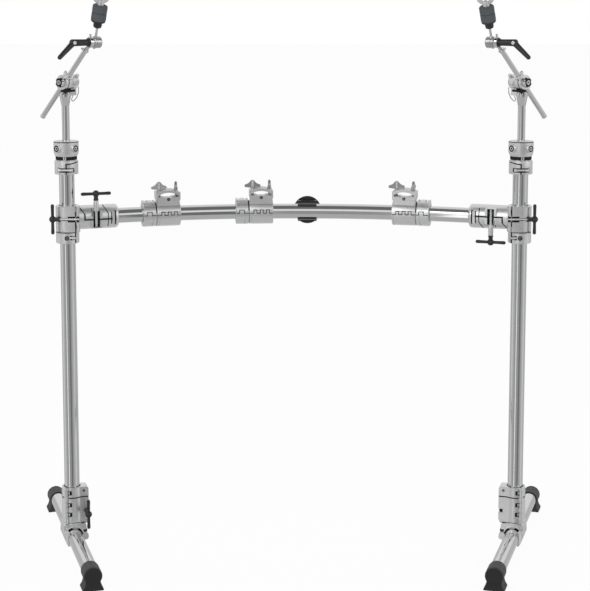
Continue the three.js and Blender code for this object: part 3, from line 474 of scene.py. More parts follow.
# Shapes that repeat or follow a path, grown by geometry nodes
def grown(name, mesh, build, sizes, material):
    tree = bpy.data.node_groups.new(name, "GeometryNodeTree")
    tree.interface.new_socket("Geometry", in_out="INPUT", socket_type="NodeSocketGeometry")
    for title, value in sizes.items():
        kind = "NodeSocketInt" if isinstance(value, int) else "NodeSocketFloat"
        tree.interface.new_socket(title, in_out="INPUT", socket_type=kind).default_value = value
    tree.interface.new_socket("Geometry", in_out="OUTPUT", socket_type="NodeSocketGeometry")
    maker = Maker(tree)
    entry = tree.nodes.new("NodeGroupInput")
    inputs = {socket.name: Wire(maker, socket) for socket in entry.outputs if socket.name}
    real = maker.node("GeometryNodeRealizeInstances", None, {"Geometry": build(maker, inputs)})
    finished = maker.node("GeometryNodeSetMaterial", None, {"Geometry": real, "Material": material})
    maker.node("NodeGroupOutput", None, {"Geometry": finished})
    host = bpy.data.objects.new(name, mesh)
    bpy.context.scene.collection.objects.link(host)
    step = host.modifiers.new(name, "NODES")
    step.node_group = tree
    for item in tree.interface.items_tree:
        if item.in_out == "INPUT" and item.name in sizes:
            step[item.identifier] = sizes[item.name]
    graph = bpy.context.evaluated_depsgraph_get()
    result = bpy.data.meshes.new_from_object(host.evaluated_get(graph))
    host.modifiers.remove(step)
    bpy.data.objects.remove(host)
    work = bmesh.new()
    work.from_mesh(result)
    bmesh.ops.remove_doubles(work, verts=work.verts, dist=MERGE)
    bmesh.ops.recalc_face_normals(work, faces=work.faces)
    work.to_mesh(result)
    work.free()
    return Form(result)


def one_point():
    mesh = bpy.data.meshes.new("start")
    mesh.from_pydata([(0, 0, 0)], [], [])
    return mesh


def bar_nodes(maker, sizes):
    """A tube along a straight end, one arc and the other straight end."""
    reach = sizes["Bow Radius"] * sizes["Splay"] + sizes["Straight"]
    low = maker.node("ShaderNodeCombineXYZ", None, {"X": 0 - reach})
    high = maker.node("ShaderNodeCombineXYZ", None, {"X": reach})
    line = maker.node("GeometryNodeCurvePrimitiveLine", None, {"Start": low, "End": high})
    path = maker.node("GeometryNodeResampleCurve", None, {"Curve": line, "Count": sizes["Steps"]})
    position = maker.node("GeometryNodeInputPosition")
    along = maker.node("ShaderNodeSeparateXYZ", None, {"Vector": position}, "X")
    turn = (along / sizes["Bow Radius"]).maths("MINIMUM", along / sizes["Bow Radius"], sizes["Splay"])
    angle = turn.maths("MAXIMUM", turn, 0 - sizes["Splay"])
    rest = along - angle * sizes["Bow Radius"]
    sine = angle.maths("SINE", angle)
    cosine = angle.maths("COSINE", angle)
    across = sizes["Bow Radius"] * sine + rest * cosine
    back = sizes["Bow"] - sizes["Bow Radius"] * (1 - cosine) - rest * sine
    place_at = maker.node("ShaderNodeCombineXYZ", None, {"X": across, "Y": back})
    bowed = maker.node("GeometryNodeSetPosition", None, {"Geometry": path, "Position": place_at})
    circle_places = {"Radius": sizes["Radius"], "Resolution": sizes["Round"]}
    circle = maker.node("GeometryNodeCurvePrimitiveCircle", None, circle_places)
    places = {"Curve": bowed, "Profile Curve": circle, "Fill Caps": True}
    return maker.node("GeometryNodeCurveToMesh", None, places)


# Sides of the ribs' and the thread's sections, and steps of the thread in one turn
RIB_SIDES = 10
THREAD_SIDES = 4
THREAD_STEPS = 20


def rib_nodes(maker, sizes):
    """Round bands repeated along Z."""
    section_places = {"Radius": sizes["Thickness"], "Resolution": RIB_SIDES}
    section = maker.node("GeometryNodeCurvePrimitiveCircle", None, section_places)
    hoop_places = {"Radius": sizes["Radius"], "Resolution": sizes["Round"]}
    hoop = maker.node("GeometryNodeCurvePrimitiveCircle", None, hoop_places)
    band = maker.node("GeometryNodeCurveToMesh", None, {"Curve": hoop, "Profile Curve": section})
    start = maker.node("ShaderNodeCombineXYZ", None, {"Z": sizes["Start"]})
    step = maker.node("ShaderNodeCombineXYZ", None, {"Z": sizes["Pitch"]})
    line_places = {"Count": sizes["Count"], "Start Location": start, "Offset": step}
    line = maker.node("GeometryNodeMeshLine", None, line_places)
    return maker.node("GeometryNodeInstanceOnPoints", None, {"Points": line, "Instance": band})


def thread_nodes(maker, sizes):
    """A helical thread round Z."""
    places = {"Resolution": THREAD_STEPS, "Rotations": sizes["Turns"], "Start Radius": sizes["Radius"],
              "End Radius": sizes["Radius"], "Height": sizes["Height"]}
    helix = maker.node("GeometryNodeCurveSpiral", None, places)
    crest_places = {"Radius": sizes["Thickness"], "Resolution": THREAD_SIDES}
    crest = maker.node("GeometryNodeCurvePrimitiveCircle", None, crest_places)
    ridge_places = {"Curve": helix, "Profile Curve": crest, "Fill Caps": True}
    ridge = maker.node("GeometryNodeCurveToMesh", None, ridge_places)
    lift = maker.node("ShaderNodeCombineXYZ", None, {"Z": sizes["Start"]})
    return maker.node("GeometryNodeTransform", None, {"Geometry": ridge, "Translation": lift})


def teeth_nodes(maker, sizes):
    """Teeth on a circle round Z, each turned outwards."""
    hoop = maker.node("GeometryNodeMeshCircle", None, {"Vertices": sizes["Count"], "Radius": sizes["Radius"]})
    index = maker.node("GeometryNodeInputIndex")
    turn = maker.node("ShaderNodeCombineXYZ", None, {"Z": index * math.tau / sizes["Count"]})
    edges = {"X": sizes["Depth"], "Y": sizes["Width"], "Z": sizes["Height"]}
    size = maker.node("ShaderNodeCombineXYZ", None, edges)
    tooth = maker.node("GeometryNodeMeshCube", None, {"Size": size})
    places = {"Points": hoop, "Instance": tooth, "Rotation": turn}
    teeth = maker.node("GeometryNodeInstanceOnPoints", None, places)
    lift = maker.node("ShaderNodeCombineXYZ", None, {"Z": sizes["Start"]})
    return maker.node("GeometryNodeTransform", None, {"Geometry": teeth, "Translation": lift})


def screw_nodes(maker, sizes):
    """Square-headed drum-key screws on points, each along its point's way."""
    way = maker.node("GeometryNodeInputNamedAttribute", {"data_type": "FLOAT_VECTOR"}, {"Name": "way"}, 0)
    turn = maker.node("FunctionNodeAlignRotationToVector", {"axis": "Z"}, {"Vector": way})
    base_places = {"Vertices": 24, "Radius": sizes["Radius"], "Depth": sizes["Radius"]}
    base = maker.node("GeometryNodeMeshCylinder", None, base_places, "Mesh")
    edge = sizes["Radius"] * 1.15
    size = maker.node("ShaderNodeCombineXYZ", None, {"X": edge, "Y": edge, "Z": sizes["Radius"]})
    head = maker.node("GeometryNodeMeshCube", None, {"Size": size}, "Mesh")
    lift = maker.node("ShaderNodeCombineXYZ", None, {"Z": sizes["Radius"] * 0.75})
    raised = maker.node("GeometryNodeTransform", None, {"Geometry": head, "Translation": lift})
    both = maker.tree.nodes.new("GeometryNodeJoinGeometry")
    for part in (base, raised):
        maker.tree.links.new(part.socket, both.inputs[0])
    source = sizes["Geometry"]
    places = {"Points": source, "Instance": Wire(maker, both.outputs[0]), "Rotation": turn}
    return maker.node("GeometryNodeInstanceOnPoints", None, places)


def screws(points, radius):
    """Key screws at (position, way) pairs."""
    mesh = bpy.data.meshes.new("screw places")
    mesh.from_pydata([position for position, way in points], [], [])
    ways = mesh.attributes.new("way", "FLOAT_VECTOR", "POINT")
    for index, (position, way) in enumerate(points):
        ways.data[index].vector = way
    return grown("key screws", mesh, screw_nodes, {"Radius": radius}, DARK_STEEL)


# Sizes of the pieces, in millimetres. FAR and NEAR are how far cutting tools reach.
FAR = 60
NEAR = 40
GROOVE_BACK = 1.0
TUBE_EASE = 0.5
KNUCKLE_CORNER = 0.5
LINK_EASE = 0.1
BASE = Sizes(outer=26, corner=1.2, top=160, door_bottom=68, hinge_x=-19.5, hinge_y=-24.5, knuckle=4.5,
             knuckle_height=12.4, centres=(91, 116, 147), link_sink=1.2, lug_end=38.5, lug_inner=14,
             lug_root=4, lug_corner=7, lug_front=-20.5, split_y=-9, lug_back=14, bolt_x=33,
             bolt_height=97, slot_half=4.7, slot_start=27, slot_end=50, seat=8.6, seat_deep=1.4,
             bolt_way_front=-12, bolt_way_back=20, seam_height=134, collar=27, floor=60, skirt=40)
SEAM = Sizes(wide=3.0, deep=2.6, rim=2.0, rim_deep=1.6, inside=1)
HINGE_LINE = Sizes(x=-15.6, over=1, width=2.0, step_half=4.6, step_start=-15.0, step_end=-9.0,
                   step_width=1.8)
POCKET = Sizes(left=-10.2, right=-4.6, front=-23.0, back=-21.0, half=5.4, ease=0.2)
# Painted shade under the base door: a block under its lug, and a ring below the door
DOOR_SHADE = Sizes(front=-18.6, back=-10, end=30, bottom=66.2, over=0.5, outer_ease=1.2, bore_ease=0.4,
              ring_bottom=65.8, cut_back=-8, low=60, high=80)
BASE_KEY = Sizes(x=26.5, y=-15.0, height=150, well=3.6, floor=15.5, screw=3.1)
SADDLE = Sizes(outer=26, corner=2.0, top_half=27, lobe_half=54, cut_height=18, cut_floor=-40, left=-26.5,
               right=31, low=36, high=66, shoulder_corner=6, shoulder_floor=50.2, shoulder_top=70)
LOBE_PLAN = [(-15, -52.5), (-17.6, -42), (-17.6, 42), (-15, 52.5), (-20, 51), (-24, 46), (-27, 36),
             (-27, -36), (-24, -46), (-20, -51)]
MOUTH = Sizes(radius=22.4, start=22.5, end=30, left=-20, right=30, down=6, top=64)
# Painted shade: near-black arcs in the saddle's mouths, over the tube
BASE_SHADE = Sizes(radius=22.2, bore_ease=0.3, start=22.7, end=26.3, left=-19.5, right=26, half=30, down=5,
             top=64, gap_left=-5, gap_right=12, gap_low=40, gap_high=70)
JAW = Sizes(inner=18, outer=34, half=40, bottom=28, top=45.6, corner=6, bridge_from=20, bridge_top=60,
            step=1, ease=0.2, bridge_rise=7, back_ease=0.4, gap_front=-26.0, gap_back=19.6, gap_ease=1.2,
            gap_top=50.6)
FOOT = Sizes(sleeve=21.6, rib=22.3, length=50, wall=4.7, pad_length=44, face=0.8, face_radius=20.4,
             face_out=0.4, ease=0.8, rim_start=7, rim_full=6, corner=1.2, dish=17.6, dish_floor=16.8)
TREAD = Sizes(count=5, half=26, start=6, end=8.4, pitch=7, bottom=-1, top=1.4)
GRIP = Sizes(bolt=3.75, neck=6.3, neck_top=5.2, ball=8.6, middle=3.7, length=76)
GRIP_END = [(0, 0), (1.8, 0.3), (3.2, 1.2), (3.9, 2.8), (4.4, 5), (3.9, 16)]
GRIP_NECK = [(0, 0), (5.6, 0), (6.3, 0.7), (6.3, 3), (5.5, 5)]
BOLT = Sizes(thread=0.45, chamfer=0.7, chamfer_end=0.8, step_start=6, step_end=6.6, corner=0.8, thin=3.1)
CLAMP = Sizes(outer=28.8, half=32.2, corner=1.5, front=-20.6, lip=24.7, lip_gap=0.9, lip_over=1.7,
              lip_depth=6, lip_corner=2.2, lug_end=33, lug_front=-29, lug_start=14, bolt_y=-25,
              slot_half=7.2, slot_start=5, floor_deep=1.8, floor_from=1.2, floor_ease=0.6, floor_in=0.4,
              floor_out=2.2, split_in=1.4, split_out=0.6, split_front=-27.4, split_back=0.4,
              split_ease=0.8, hinge_y=34.2, knuckle=5, knuckle_half=11.7, knuckle_end=30, link=8,
              neck_stop=-14.7, way_start=-22, way_over=1, way_half=3.4)
LUG_PLAN = [(0, -10), (0, -30.8), (27, -30.8), (31, -27), (33, -23.5), (33, -5)]
BRANCH = Sizes(radius=30, start=5, end=126, chamfer=6, chamfer_share=0.35, bore_start=30, mouth=4,
               mouth_ease=0.2, mouth_flare=2.2, mouth_over=1, bolt=68, depth=24.3, half=14.5, corner=4,
               front=-31, inner=-12, bottom=-25, top=16, floor=-23, slot=20.3, slot_ease=2.2,
               handle_from=17, ease=0.3, floor_deep=1.6, floor_over=0.2, floor_rise=0.4, tool_end=140)
# Grooves on the branch, filled with painted shade: their points in X and Z, width and depth
BRANCH_LINES = [([(26.2, 29), (38.7, 10.6)], 2.6, 2), ([(38.7, 10.6), (38.7, -3), (59.5, -3)], 3.8, 4),
                ([(76.5, -3), (106, -3)], 4.0, 4), ([(87.6, 29), (97.7, 10.6), (97.7, -22)], 2.2, 2),
                ([(56.9, 24), (56.9, 6)], 1.6, 2), ([(105.8, 14), (105.8, -15)], 2.4, 2),
                ([(115.8, 15), (115.8, -16)], 4.0, 4)]
TAB = Sizes(start=107.5, end=114.2, bottom=-16, top=15, corner=2.5, front=-31.2, back=-14)
LOCK = Sizes(height=29.5, outer=28.8, corner=1.4, slit=21, slit_width=2.6, low=-5, channel_start=9.5,
             channel_back=-17, channel_half=5.4, channel_core=1.2, recess=6.0, recess_floor=21,
             seam_down=1.6, seam_width=2.0, seam_deep=1.8, bush=22.0, bush_ease=0.5, bush_half=5.8,
             bush_left=-4, bush_back=-8)
LOCK_SCREW = Sizes(shank=3.0, start=9.0, end=24.6, corner=0.4, y=-24.0, x=2.4, head=4.2, head_start=21.6,
                   head_end=28.0, head_corner=0.5, socket=1.9, socket_floor=25, socket_end=30,
                   socket_sides=6)
TOP = Sizes(bottom=959, collar_top=993, ring_top=1004, top=1041, collar=29.2, collar_corner=1.4,
            ring=26.5, ring_ease=1.4, core_in=2, block=31, chamfer=3.6, chamfer_end=9, corner=1.2,
            boss=10.6, boss_corner=1.5, reach=35, boss_height=1024, angles=(-125, -40), slit_top=986,
            screw=970, well_corner=2.6, well_back=-20.5, edge_down=2.0, edge_width=2.0, edge_deep=1.6)
DARK_RING = Sizes(width=5, low=0.2, high=0.4, corner=2.6)
# A key screw's well, then the near-black ring and pin that paint shade in it
WELL = Sizes(outer=8.2, inner=4.8, deep=3.4, end=50, hole=2.6, hole_deep=4.2, washer=7.9, washer_bore=5.1,
             washer_deep=3.2, washer_top=1.6, pin=2.3, pin_deep=4.0, pin_top=1.8, pin_sides=16)
SLIT = Sizes(left=1.4, right=4.8, back=-14, over=0.4, path=[(2.8, -1.0), (12, -0.6), (27, 3.0)],
             width=2.8, core=4)
COLLAR_WELLS = [(-18, 23, 5.6), (-20, -14.5, 8.0), (18, 24, 8.0)]
# Painted shade in the top clamp's collar: a plate behind its wells, and filler in its slits
COLLAR_SHADE = Sizes(left=-17.6, right=22.6, half=5.3, corner=2.4, front=-21.6, back=-20.7, ease=1.4,
                     bore_ease=0.4, rise=0.6)
TENSION = Sizes(shank=3.3, left=-15, right=16, seat=4.3, spans=((-18.5, -11.5), (10.5, 18.5)), corner=0.8,
                x=1.6, y=-24.6, tab_left=-4.4, tab_right=3.2, tab_front=-2.4, tab_back=-0.6, tab_low=0.8,
                tab_high=0.6, slot_left=-1.4, slot_right=0.2, slot_front=-5, slot_low=3.4)
BOOM = Sizes(post=9.5, post_ease=0.6, bottom=807, pivot=1186.5, facing=math.radians(-35),
             lean=math.radians(41), socket=14.5, taper=58, taper_rise=0.8, socket_bottom=34,
             socket_ease=0.5, socket_rise=1.4, neck=4.4, neck_down=5.6, shade_bottom=24.4)
EAR = Sizes(front=11.3, back=32, radius=18.5, corner=1.2, half=8, front_ease=0.6, back_ease=0.3, under=1,
            lug_start=Vector((4, 26, 3)), lug_end=Vector((19, 26, 17.5)), lug=6.5, lug_tip=4.6, hub=8,
            hub_start=31, hub_end=42, hub_corner=1.0, rim=14.5, rim_end=33.6, rim_corner=0.6)
LONG_LOOP = [(5, -5), (9.5, -16), (9, -28), (3, -40), (-7, -49), (-13, -50), (-14.5, -45), (-9, -34),
             (-5.5, -20), (-4, -5)]
SHORT_LOOP = [(-4, 5), (-6.5, 12), (-3, 16.5), (3, 16.5), (6.5, 12), (4, 5)]
WIRE = Sizes(radius=1.4, sides=12, y=38)
SHADE = Sizes(left=-5, right=11, front=-10, back=24, under=0.4, top=-19.2)
HEAD = Sizes(radius=18.5, corner=1.2, front=12, back=11, boss=11, boss_length=44, hub=12.5, hub_end=22,
             hub_corner=1.0)
HEAD_LUG = Sizes(y=-2, length=27, radius=7.0, tip=3.8, key_start=25, key_end=34, key=2.4, key_sides=16,
                 screw=25.6, way=Vector((0.16, 0, 0.987)))
HEAD_SCREW = Sizes(hub=4.4, hub_in=4.6, small=2.1)
HEAD_WELL = Sizes(outer=10.6, inner=5.8, front=-30, deep=4.4, notch_half=3.4, notch_deep=6.2, notch_low=5,
                  notch_high=20, turns=(35, 155, 275), bush=10.3, bush_bore=6.1, bush_front=1.6,
                  bush_back=4.0)
HEAD_GROOVES = Sizes(seam=-4.6, seam_width=2.6, deep=2.4, teeth_in=2.6, teeth_width=0.8)
EYELET = Sizes(outer=4.4, inner=2.2, deep=2.4, end=30, x=12.2, z=6.5, screw=1.2)
ARM = Sizes(radius=6.35, lower=120, upper=132, neck_length=23, neck=3.2, eye=13.5, eye_half=4.5,
            eye_corner=0.9, cap=6.9, cap_length=6, cap_corner=1.6, collar=8.6, collar_from=5.4,
            collar_to=0.2, collar_corner=0.8)
ARM_LUG = Sizes(down=2.6, x=-7.5, y=-9, radius=2.8, tip=2.4)
EYE = Sizes(rim=11.6, rim_bore=9.8, rim_start=-6, rim_deep=1.2, stud=2.6, stud_start=10, stud_end=17.2,
            key=1.5, key_wide=3.4, key_low=16.4, key_high=20.4)
BARREL = Sizes(along=12, rod=3)
# The barrel's and its spindle's turned profiles: radius, and place along the axis
BARREL_PROFILE = [(0, 4.9), (12.6, 4.9), (12.6, 6.5), (13.5, 6.5), (14.3, 7.3), (14.3, 10.9), (13.6, 11.3),
                  (13.6, 12.3), (14.3, 12.7), (14.3, 23.8), (12.1, 26), (7.5, 26), (7.1, 24.8), (0, 24.8)]
SPINDLE_PROFILE = [(0, -17), (2.2, -17), (3, -16.2), (3, 37), (2.45, 37.6), (2.45, 112.3), (1.8, 113),
                   (0, 113)]
SPINDLE_SEAT = [(0, 11.3), (5.4, 11.3), (5.4, 15.1), (4.6, 15.9), (0, 15.9)]
LEVER = Sizes(start=4.9, collar=11, collar_end=8, collar_corner=0.8, hub=8.6, hub_end=54, ball_ease=0.2,
              length=61, thick=7.4, tip=5.4, way=Vector((-0.72, -0.22, -0.57)))
LEVER_HUB = [(0, -54), (5.2, -54), (7.2, -52.6), (8.6, -50), (8.0, -16), (8.6, -8), (0, -8)]
LEVER_CAP = Sizes(radius=4.4, start=5.0, end=9.4, corner=0.9, groove=3.0, groove_bore=1.4, floor=8.8,
                  reach=12)
FELTS = Sizes(bore=3.3, seat_end=57.5, radius=18.2, soft=2.6, bore_ease=0.2, seam=78.5, top=95.5)
FELT_SEAT_PROFILE = [(3.3, 39), (8.6, 39), (9.4, 39.8), (10.5, 44), (10.5, 53.1), (16.8, 54.3),
                     (17.6, 55.1), (17.6, 57.5), (3.3, 57.5)]
NUT = Sizes(start=95.8, thickness=4, bore_start=-3, bore_end=40)
# The wing nut's hub as it is turned, and the right half of its two ears in X and Z
NUT_PROFILE = [(0, 0), (8, 0), (8, 4.2), (6.24, 13), (4.96, 14), (0, 14)]
NUT_EAR = [(5.6, 4), (15.12, 8.2), (20.37, 13.32), (21, 16.84), (19.53, 19.88), (16.38, 21), (11.55, 18.76),
           (4.8, 12.68)]
MOUNT = Sizes(half=30.2, radius=31.5, corner=1.2, bore=19.95, depth=22, top=44, hinge_y=-30, hinge_z=4.6,
              knuckle=4, knuckle_below=-1, tab_half=2, width_share=0.26, shares=(-0.64, -0.1, 0.42),
              floor=47, cap_half=28, bolt_x=21.5, bolt=3, bolt_bottom=30, bolt_over=2, way_over=3,
              seat=56, gap=1.6, lug_depth=42, lug_half=8, lug_past=9, lug_corner=3, lug_reach=20)
# Right half of the block's outline over the split, in X and Z
WAIST_HALF = [(30.2, 16), (27.8, 22), (27.8, 33), (30.2, 38), (30.2, 44), (14, 44), (8, 41.4)]
BLOCK_RIDGES = Sizes(heights=(33.5, 39.0), width=1.4, deep=0.9)
BLOCK_SCREW = Sizes(height=38.5, well=4.2, floor=3.4, screw=3.4, screw_in=3.2, ring=3.9, ring_bore=2.4,
                    ring_top=1.6)
SHADOW = Sizes(inset=1, front=-29.6, collar_front=-29.5, back=-24, low=-3.0, high=10.6, collar_low=-1.8,
               collar_high=9.8, bore_ease=0.3)
KNUCKLE_LINE = Sizes(over=2, low=-0.4, high=8.2, core_in=2.7, width=1.7)
DOOR_LINE = Sizes(inset=5.5, width=1.4, deep=1.2)
CAP = Sizes(steps=16, thick=9, under_rise=8.4, over_rise=6, foot_in=2.4, foot_out=2.3, foot_top=8.8,
            way_end=90, bands=(-13.5, -5.5, 3.5, 11.5), band_width=2.4, band_deep=1.4, band_over=3,
            lip_low=2.2, lip_high=3.4, lip_deep=0.9)
WING = Sizes(hub=5, half=20.5, height=25, thickness=4.4)
# Hub of the wing bolt as it is turned, and the shares of the wing's half span and height
WING_HUB_PROFILE = [(0, 0), (5, 0), (5, 8), (4.1, 11), (3.3, 22), (2.6, 24.4), (0, 25)]
PEAKED_WING_SHARES = [(0.28, 0.20), (0.62, 0.235), (0.93, 0.275), (1.0, 0.34), (0.995, 0.48), (0.93, 0.535),
                      (0.72, 0.59), (0.52, 0.66), (0.34, 0.80), (0.18, 0.96), (0.10, 1.0)]
COLLAR = Sizes(width=33, crown=3.7, crown_corner=0.8, crown_half=15, crown_under=2, notch=5,
               notch_deep=0.6, edge_in=1, edge_half=1.4, edge_low=6, seam_near=5, seam_far=7,
               seam_heights=(1, -12, -26), seam_width=1.6, seam_deep=1.4, ridge_heights=(14, 20),
               ridge_width=1.0, ridge_deep=0.8, bush_in=3, bush_ease=0.4, bush_start=3.4, bush_end=1.2)
COLLAR_LINE = Sizes(over=2, left=-8, right=4, high=8.2, width=1.8)
BADGE = Sizes(x=34.8, bore=19.85, radius=35.5, corner=1.2, thickness=4, width=48, height=52, depth=12,
              recess_in=2.4, recess_bore=6.0, recess_deep=0.6, recess_over=10, pad_front=4, pad_over=1)
BADGE_CLIP = Sizes(radius=22.2, front=-13.6, reach=30, over=2, slot_front=13, slot_back=19, slot_low=23.2,
                   slot_high=24.4)


def rounded_outline(low_x, high_x, low_y, high_y, corner, steps=6):
    """Corner points of a rectangle whose corners are rounded."""
    centres = [(high_x - corner, high_y - corner, 0), (low_x + corner, high_y - corner, 90),
               (low_x + corner, low_y + corner, 180), (high_x - corner, low_y + corner, 270)]
    points = []
    for x, y, start in centres:
        for step in range(steps + 1):
            angle = math.radians(start + 90 * step / steps)
            points.append((x + corner * math.cos(angle), y + corner * math.sin(angle)))
    return points


def upright(outline, front, back):
    """A plate whose outline is given in X and Z, from front to back along Y."""
    return along_minus_y(plate(outline, -back, -front))


def ball(radius, sides=SMALL_ROUND):
    steps = sides // 2
    profile = []
    for step in range(steps + 1):
        angle = math.pi * (step / steps - 0.5)
        profile.append((max(0.0, radius * math.cos(angle)), radius * math.sin(angle)))
    profile[0] = (0, -radius)
    profile[-1] = (0, radius)
    return lathe(profile, sides)


def rounded_ends(radius, start, end, corner, steps):
    """Profile points of a body of rotation's two rounded edges."""
    angles = [math.pi / 2 * step / steps for step in range(steps + 1)]
    low = [(radius - corner + corner * math.sin(angle), start + corner - corner * math.cos(angle))
           for angle in angles]
    high = [(radius - corner + corner * math.cos(angle), end - corner + corner * math.sin(angle))
            for angle in angles]
    return low + high


def rounded_rod(radius, start, end, corner, sides=ROUND):
    return lathe([(0, start), *rounded_ends(radius, start, end, corner, 4), (0, end)], sides)


def groove_path(points, width, core):
    """Tool for a groove: strips between points in X and Z, in front of Y zero, without the core."""
    strips = []
    for (x0, z0), (x1, z1) in zip(points, points[1:]):
        length = math.hypot(x1 - x0, z1 - z0)
        along = ((x1 - x0) / length * width / 2, (z1 - z0) / length * width / 2)
        side = (-along[1], along[0])
        outline = [
            (x0 - along[0] - side[0], z0 - along[1] - side[1]),
            (x1 + along[0] - side[0], z1 + along[1] - side[1]),
            (x1 + along[0] + side[0], z1 + along[1] + side[1]),
            (x0 - along[0] + side[0], z0 - along[1] + side[1]),
        ]
        strips.append(upright(outline, -FAR, -GROOVE_BACK))
    return joined(*strips) - core


def tube_form(start, end):
    """A tube along Z with turned, slightly eased ends."""
    bore = TUBE_RADIUS - TUBE_WALL
    profile = [(bore, start + TUBE_EASE), (bore + TUBE_EASE, start), (TUBE_RADIUS - TUBE_EASE, start),
               (TUBE_RADIUS, start + TUBE_EASE), (TUBE_RADIUS, end - TUBE_EASE),
               (TUBE_RADIUS - TUBE_EASE, end), (bore + TUBE_EASE, end), (bore, end - TUBE_EASE)]
    return lathe(profile, TUBE_ROUND)


# Rubber foot on the -Y end of the base tube
PAD_OUTLINE = [(-25, 0), (25, 0), (25, 4), (22.5, 7), (19.5, 13), (18.2, 19), (17.5, 27), (-17.5, 27),
               (-18.2, 19), (-19.5, 13), (-22.5, 7), (-25, 4)]


def foot_face_form():
    """The smooth face of the foot, darker than its ribbed sleeve."""
    end = BASE_LENGTH / 2 + GAP + FOOT.wall
    disc = along_minus_y(rounded_rod(FOOT.face_radius, end - FOOT.face, end + FOOT.face_out, FOOT.face_out))
    return disc.moved(z=BASE_AXIS) + upright(PAD_OUTLINE, -end, -end + FOOT.face)


def foot_form():
    inner_end = BASE_LENGTH / 2 + GAP
    end = inner_end + FOOT.wall
    start = end - FOOT.length
    sleeve_form = along_minus_y(sleeve_of(start, inner_end, end)).moved(z=BASE_AXIS)
    pad = upright(PAD_OUTLINE, -end + FOOT.face, -end + FOOT.pad_length)
    room = along_minus_y(rod(TUBE_BORE, 0, inner_end)).moved(z=BASE_AXIS)
    treads = []
    for step in range(TREAD.count):
        front = -end + TREAD.start + step * TREAD.pitch
        back = -end + TREAD.end + step * TREAD.pitch
        treads.append(block(-TREAD.half, TREAD.half, front, back, TREAD.bottom, TREAD.top))
    return without(sleeve_form + (pad - room), *treads)


def sleeve_of(start, inner_end, end):
    f = FOOT
    outside = lathe([(0, start), (f.sleeve - f.ease, start), (f.sleeve, start + f.ease),
                     (f.sleeve, end - f.rim_start), (f.rib, end - f.rim_full), (f.rib, end - f.corner),
                     (f.rib - f.corner, end), (f.dish, end), (f.dish_floor, end - f.ease),
                     (0, end - f.ease)])
    return outside - rod(TUBE_BORE, start - OVERRUN, inner_end)


# Base clamp
def door_wedge(offset):
    """The part of space that the base door takes: in front of its hinge and its split."""
    reach = BASE.lug_end * 2
    angle = math.atan2(BASE.hinge_y, BASE.hinge_x)
    edge = Vector((math.cos(angle), math.sin(angle)))
    side = Vector((edge.y, -edge.x)) * offset
    split = BASE.split_y + offset
    start = side + edge * ((split - side.y) / edge.y)
    far = side + edge * reach
    outline = [tuple(start), tuple(far), (reach, far.y), (reach, split)]
    return plate(outline, BASE.door_bottom - offset, BASE.top + OVERRUN)


def base_knuckles(on_door):
    """The knuckles of the base hinge: the door's, or the clamp's between them."""
    half = BASE.knuckle_height / 2
    edges = [BASE.door_bottom + GAP]
    for centre in BASE.centres:
        edges += [centre - half, centre + half]
    edges.append(BASE.top)
    pieces = []
    for index in range(len(edges) - 1):
        if (index % 2 == 0) != on_door:
            continue
        shrink = GAP if on_door else 0
        bottom = edges[index] + (0 if index == 0 else shrink)
        top = edges[index + 1] - (0 if index + 2 == len(edges) else shrink)
        barrel = rounded_rod(BASE.knuckle, bottom, top, KNUCKLE_CORNER, SMALL_ROUND)
        pieces.append(barrel.moved(BASE.hinge_x, BASE.hinge_y))
        pieces.append(knuckle_link(on_door, bottom, top))
    return pieces


def knuckle_link(on_door, bottom, top):
    """The web from a knuckle to its casting."""
    hinge = Vector((BASE.hinge_x, BASE.hinge_y))
    inward = -hinge.normalized()
    across = Vector((-inward.y, inward.x)) * (-1 if on_door else 1)
    depth = hinge.length - BASE.outer + BASE.link_sink
    near = hinge + across * (GAP / 2)
    far = hinge + across * (BASE.knuckle - LINK_EASE)
    outline = [tuple(near), tuple(far), tuple(far + inward * depth), tuple(near + inward * depth)]
    return plate(outline if on_door else outline[::-1], bottom + LINK_EASE / 2, top - LINK_EASE / 2)


def seam_tool(radius, height, width, depth):
    return ring(radius + OVERRUN, radius - depth, height - width / 2, height + width / 2)


def rim_tool(end, way):
    """Tool for the step at a bore's end: way is 1 for an upper end and -1 for a lower one."""
    inner = end - way * SEAM.rim_deep
    outer = end + way * OVERRUN
    return ring(TUBE_BORE + SEAM.rim, TUBE_BORE - SEAM.inside, min(inner, outer), max(inner, outer))


def hinge_lines():
    """Tools for the line beside the base hinge and the steps from it to the pockets, filled with painted
    shade.
    """
    line = HINGE_LINE
    core = rod(BASE.outer - SEAM.deep, 0, BASE.top + OVERRUN)
    path = [(line.x, BASE.top + line.over), (line.x, BASE.door_bottom - line.over)]
    lines = [groove_path(path, line.width, core)]
    for centre in BASE.centres:
        for edge in (centre - line.step_half, centre + line.step_half):
            lines.append(groove_path([(line.step_start, edge), (line.step_end, edge)], line.step_width, core))
    return lines


def base_seam(lug_front, lug_back):
    """Tools for the seam round the base clamp and across its lug."""
    half = SEAM.wide / 2
    lug = block(BASE.lug_inner, FAR, lug_front, lug_back, BASE.seam_height - half, BASE.seam_height + half)
    return [seam_tool(BASE.outer, BASE.seam_height, SEAM.wide, SEAM.deep), lug]


def base_lug(bottom, front, back):
    outline = rounded_outline(BASE.lug_root, BASE.lug_end, bottom, BASE.top, BASE.lug_corner)
    return upright(outline, front, back)


def at_base_bolt(form):
    return form.moved(BASE.bolt_x, 0, BASE.bolt_height)


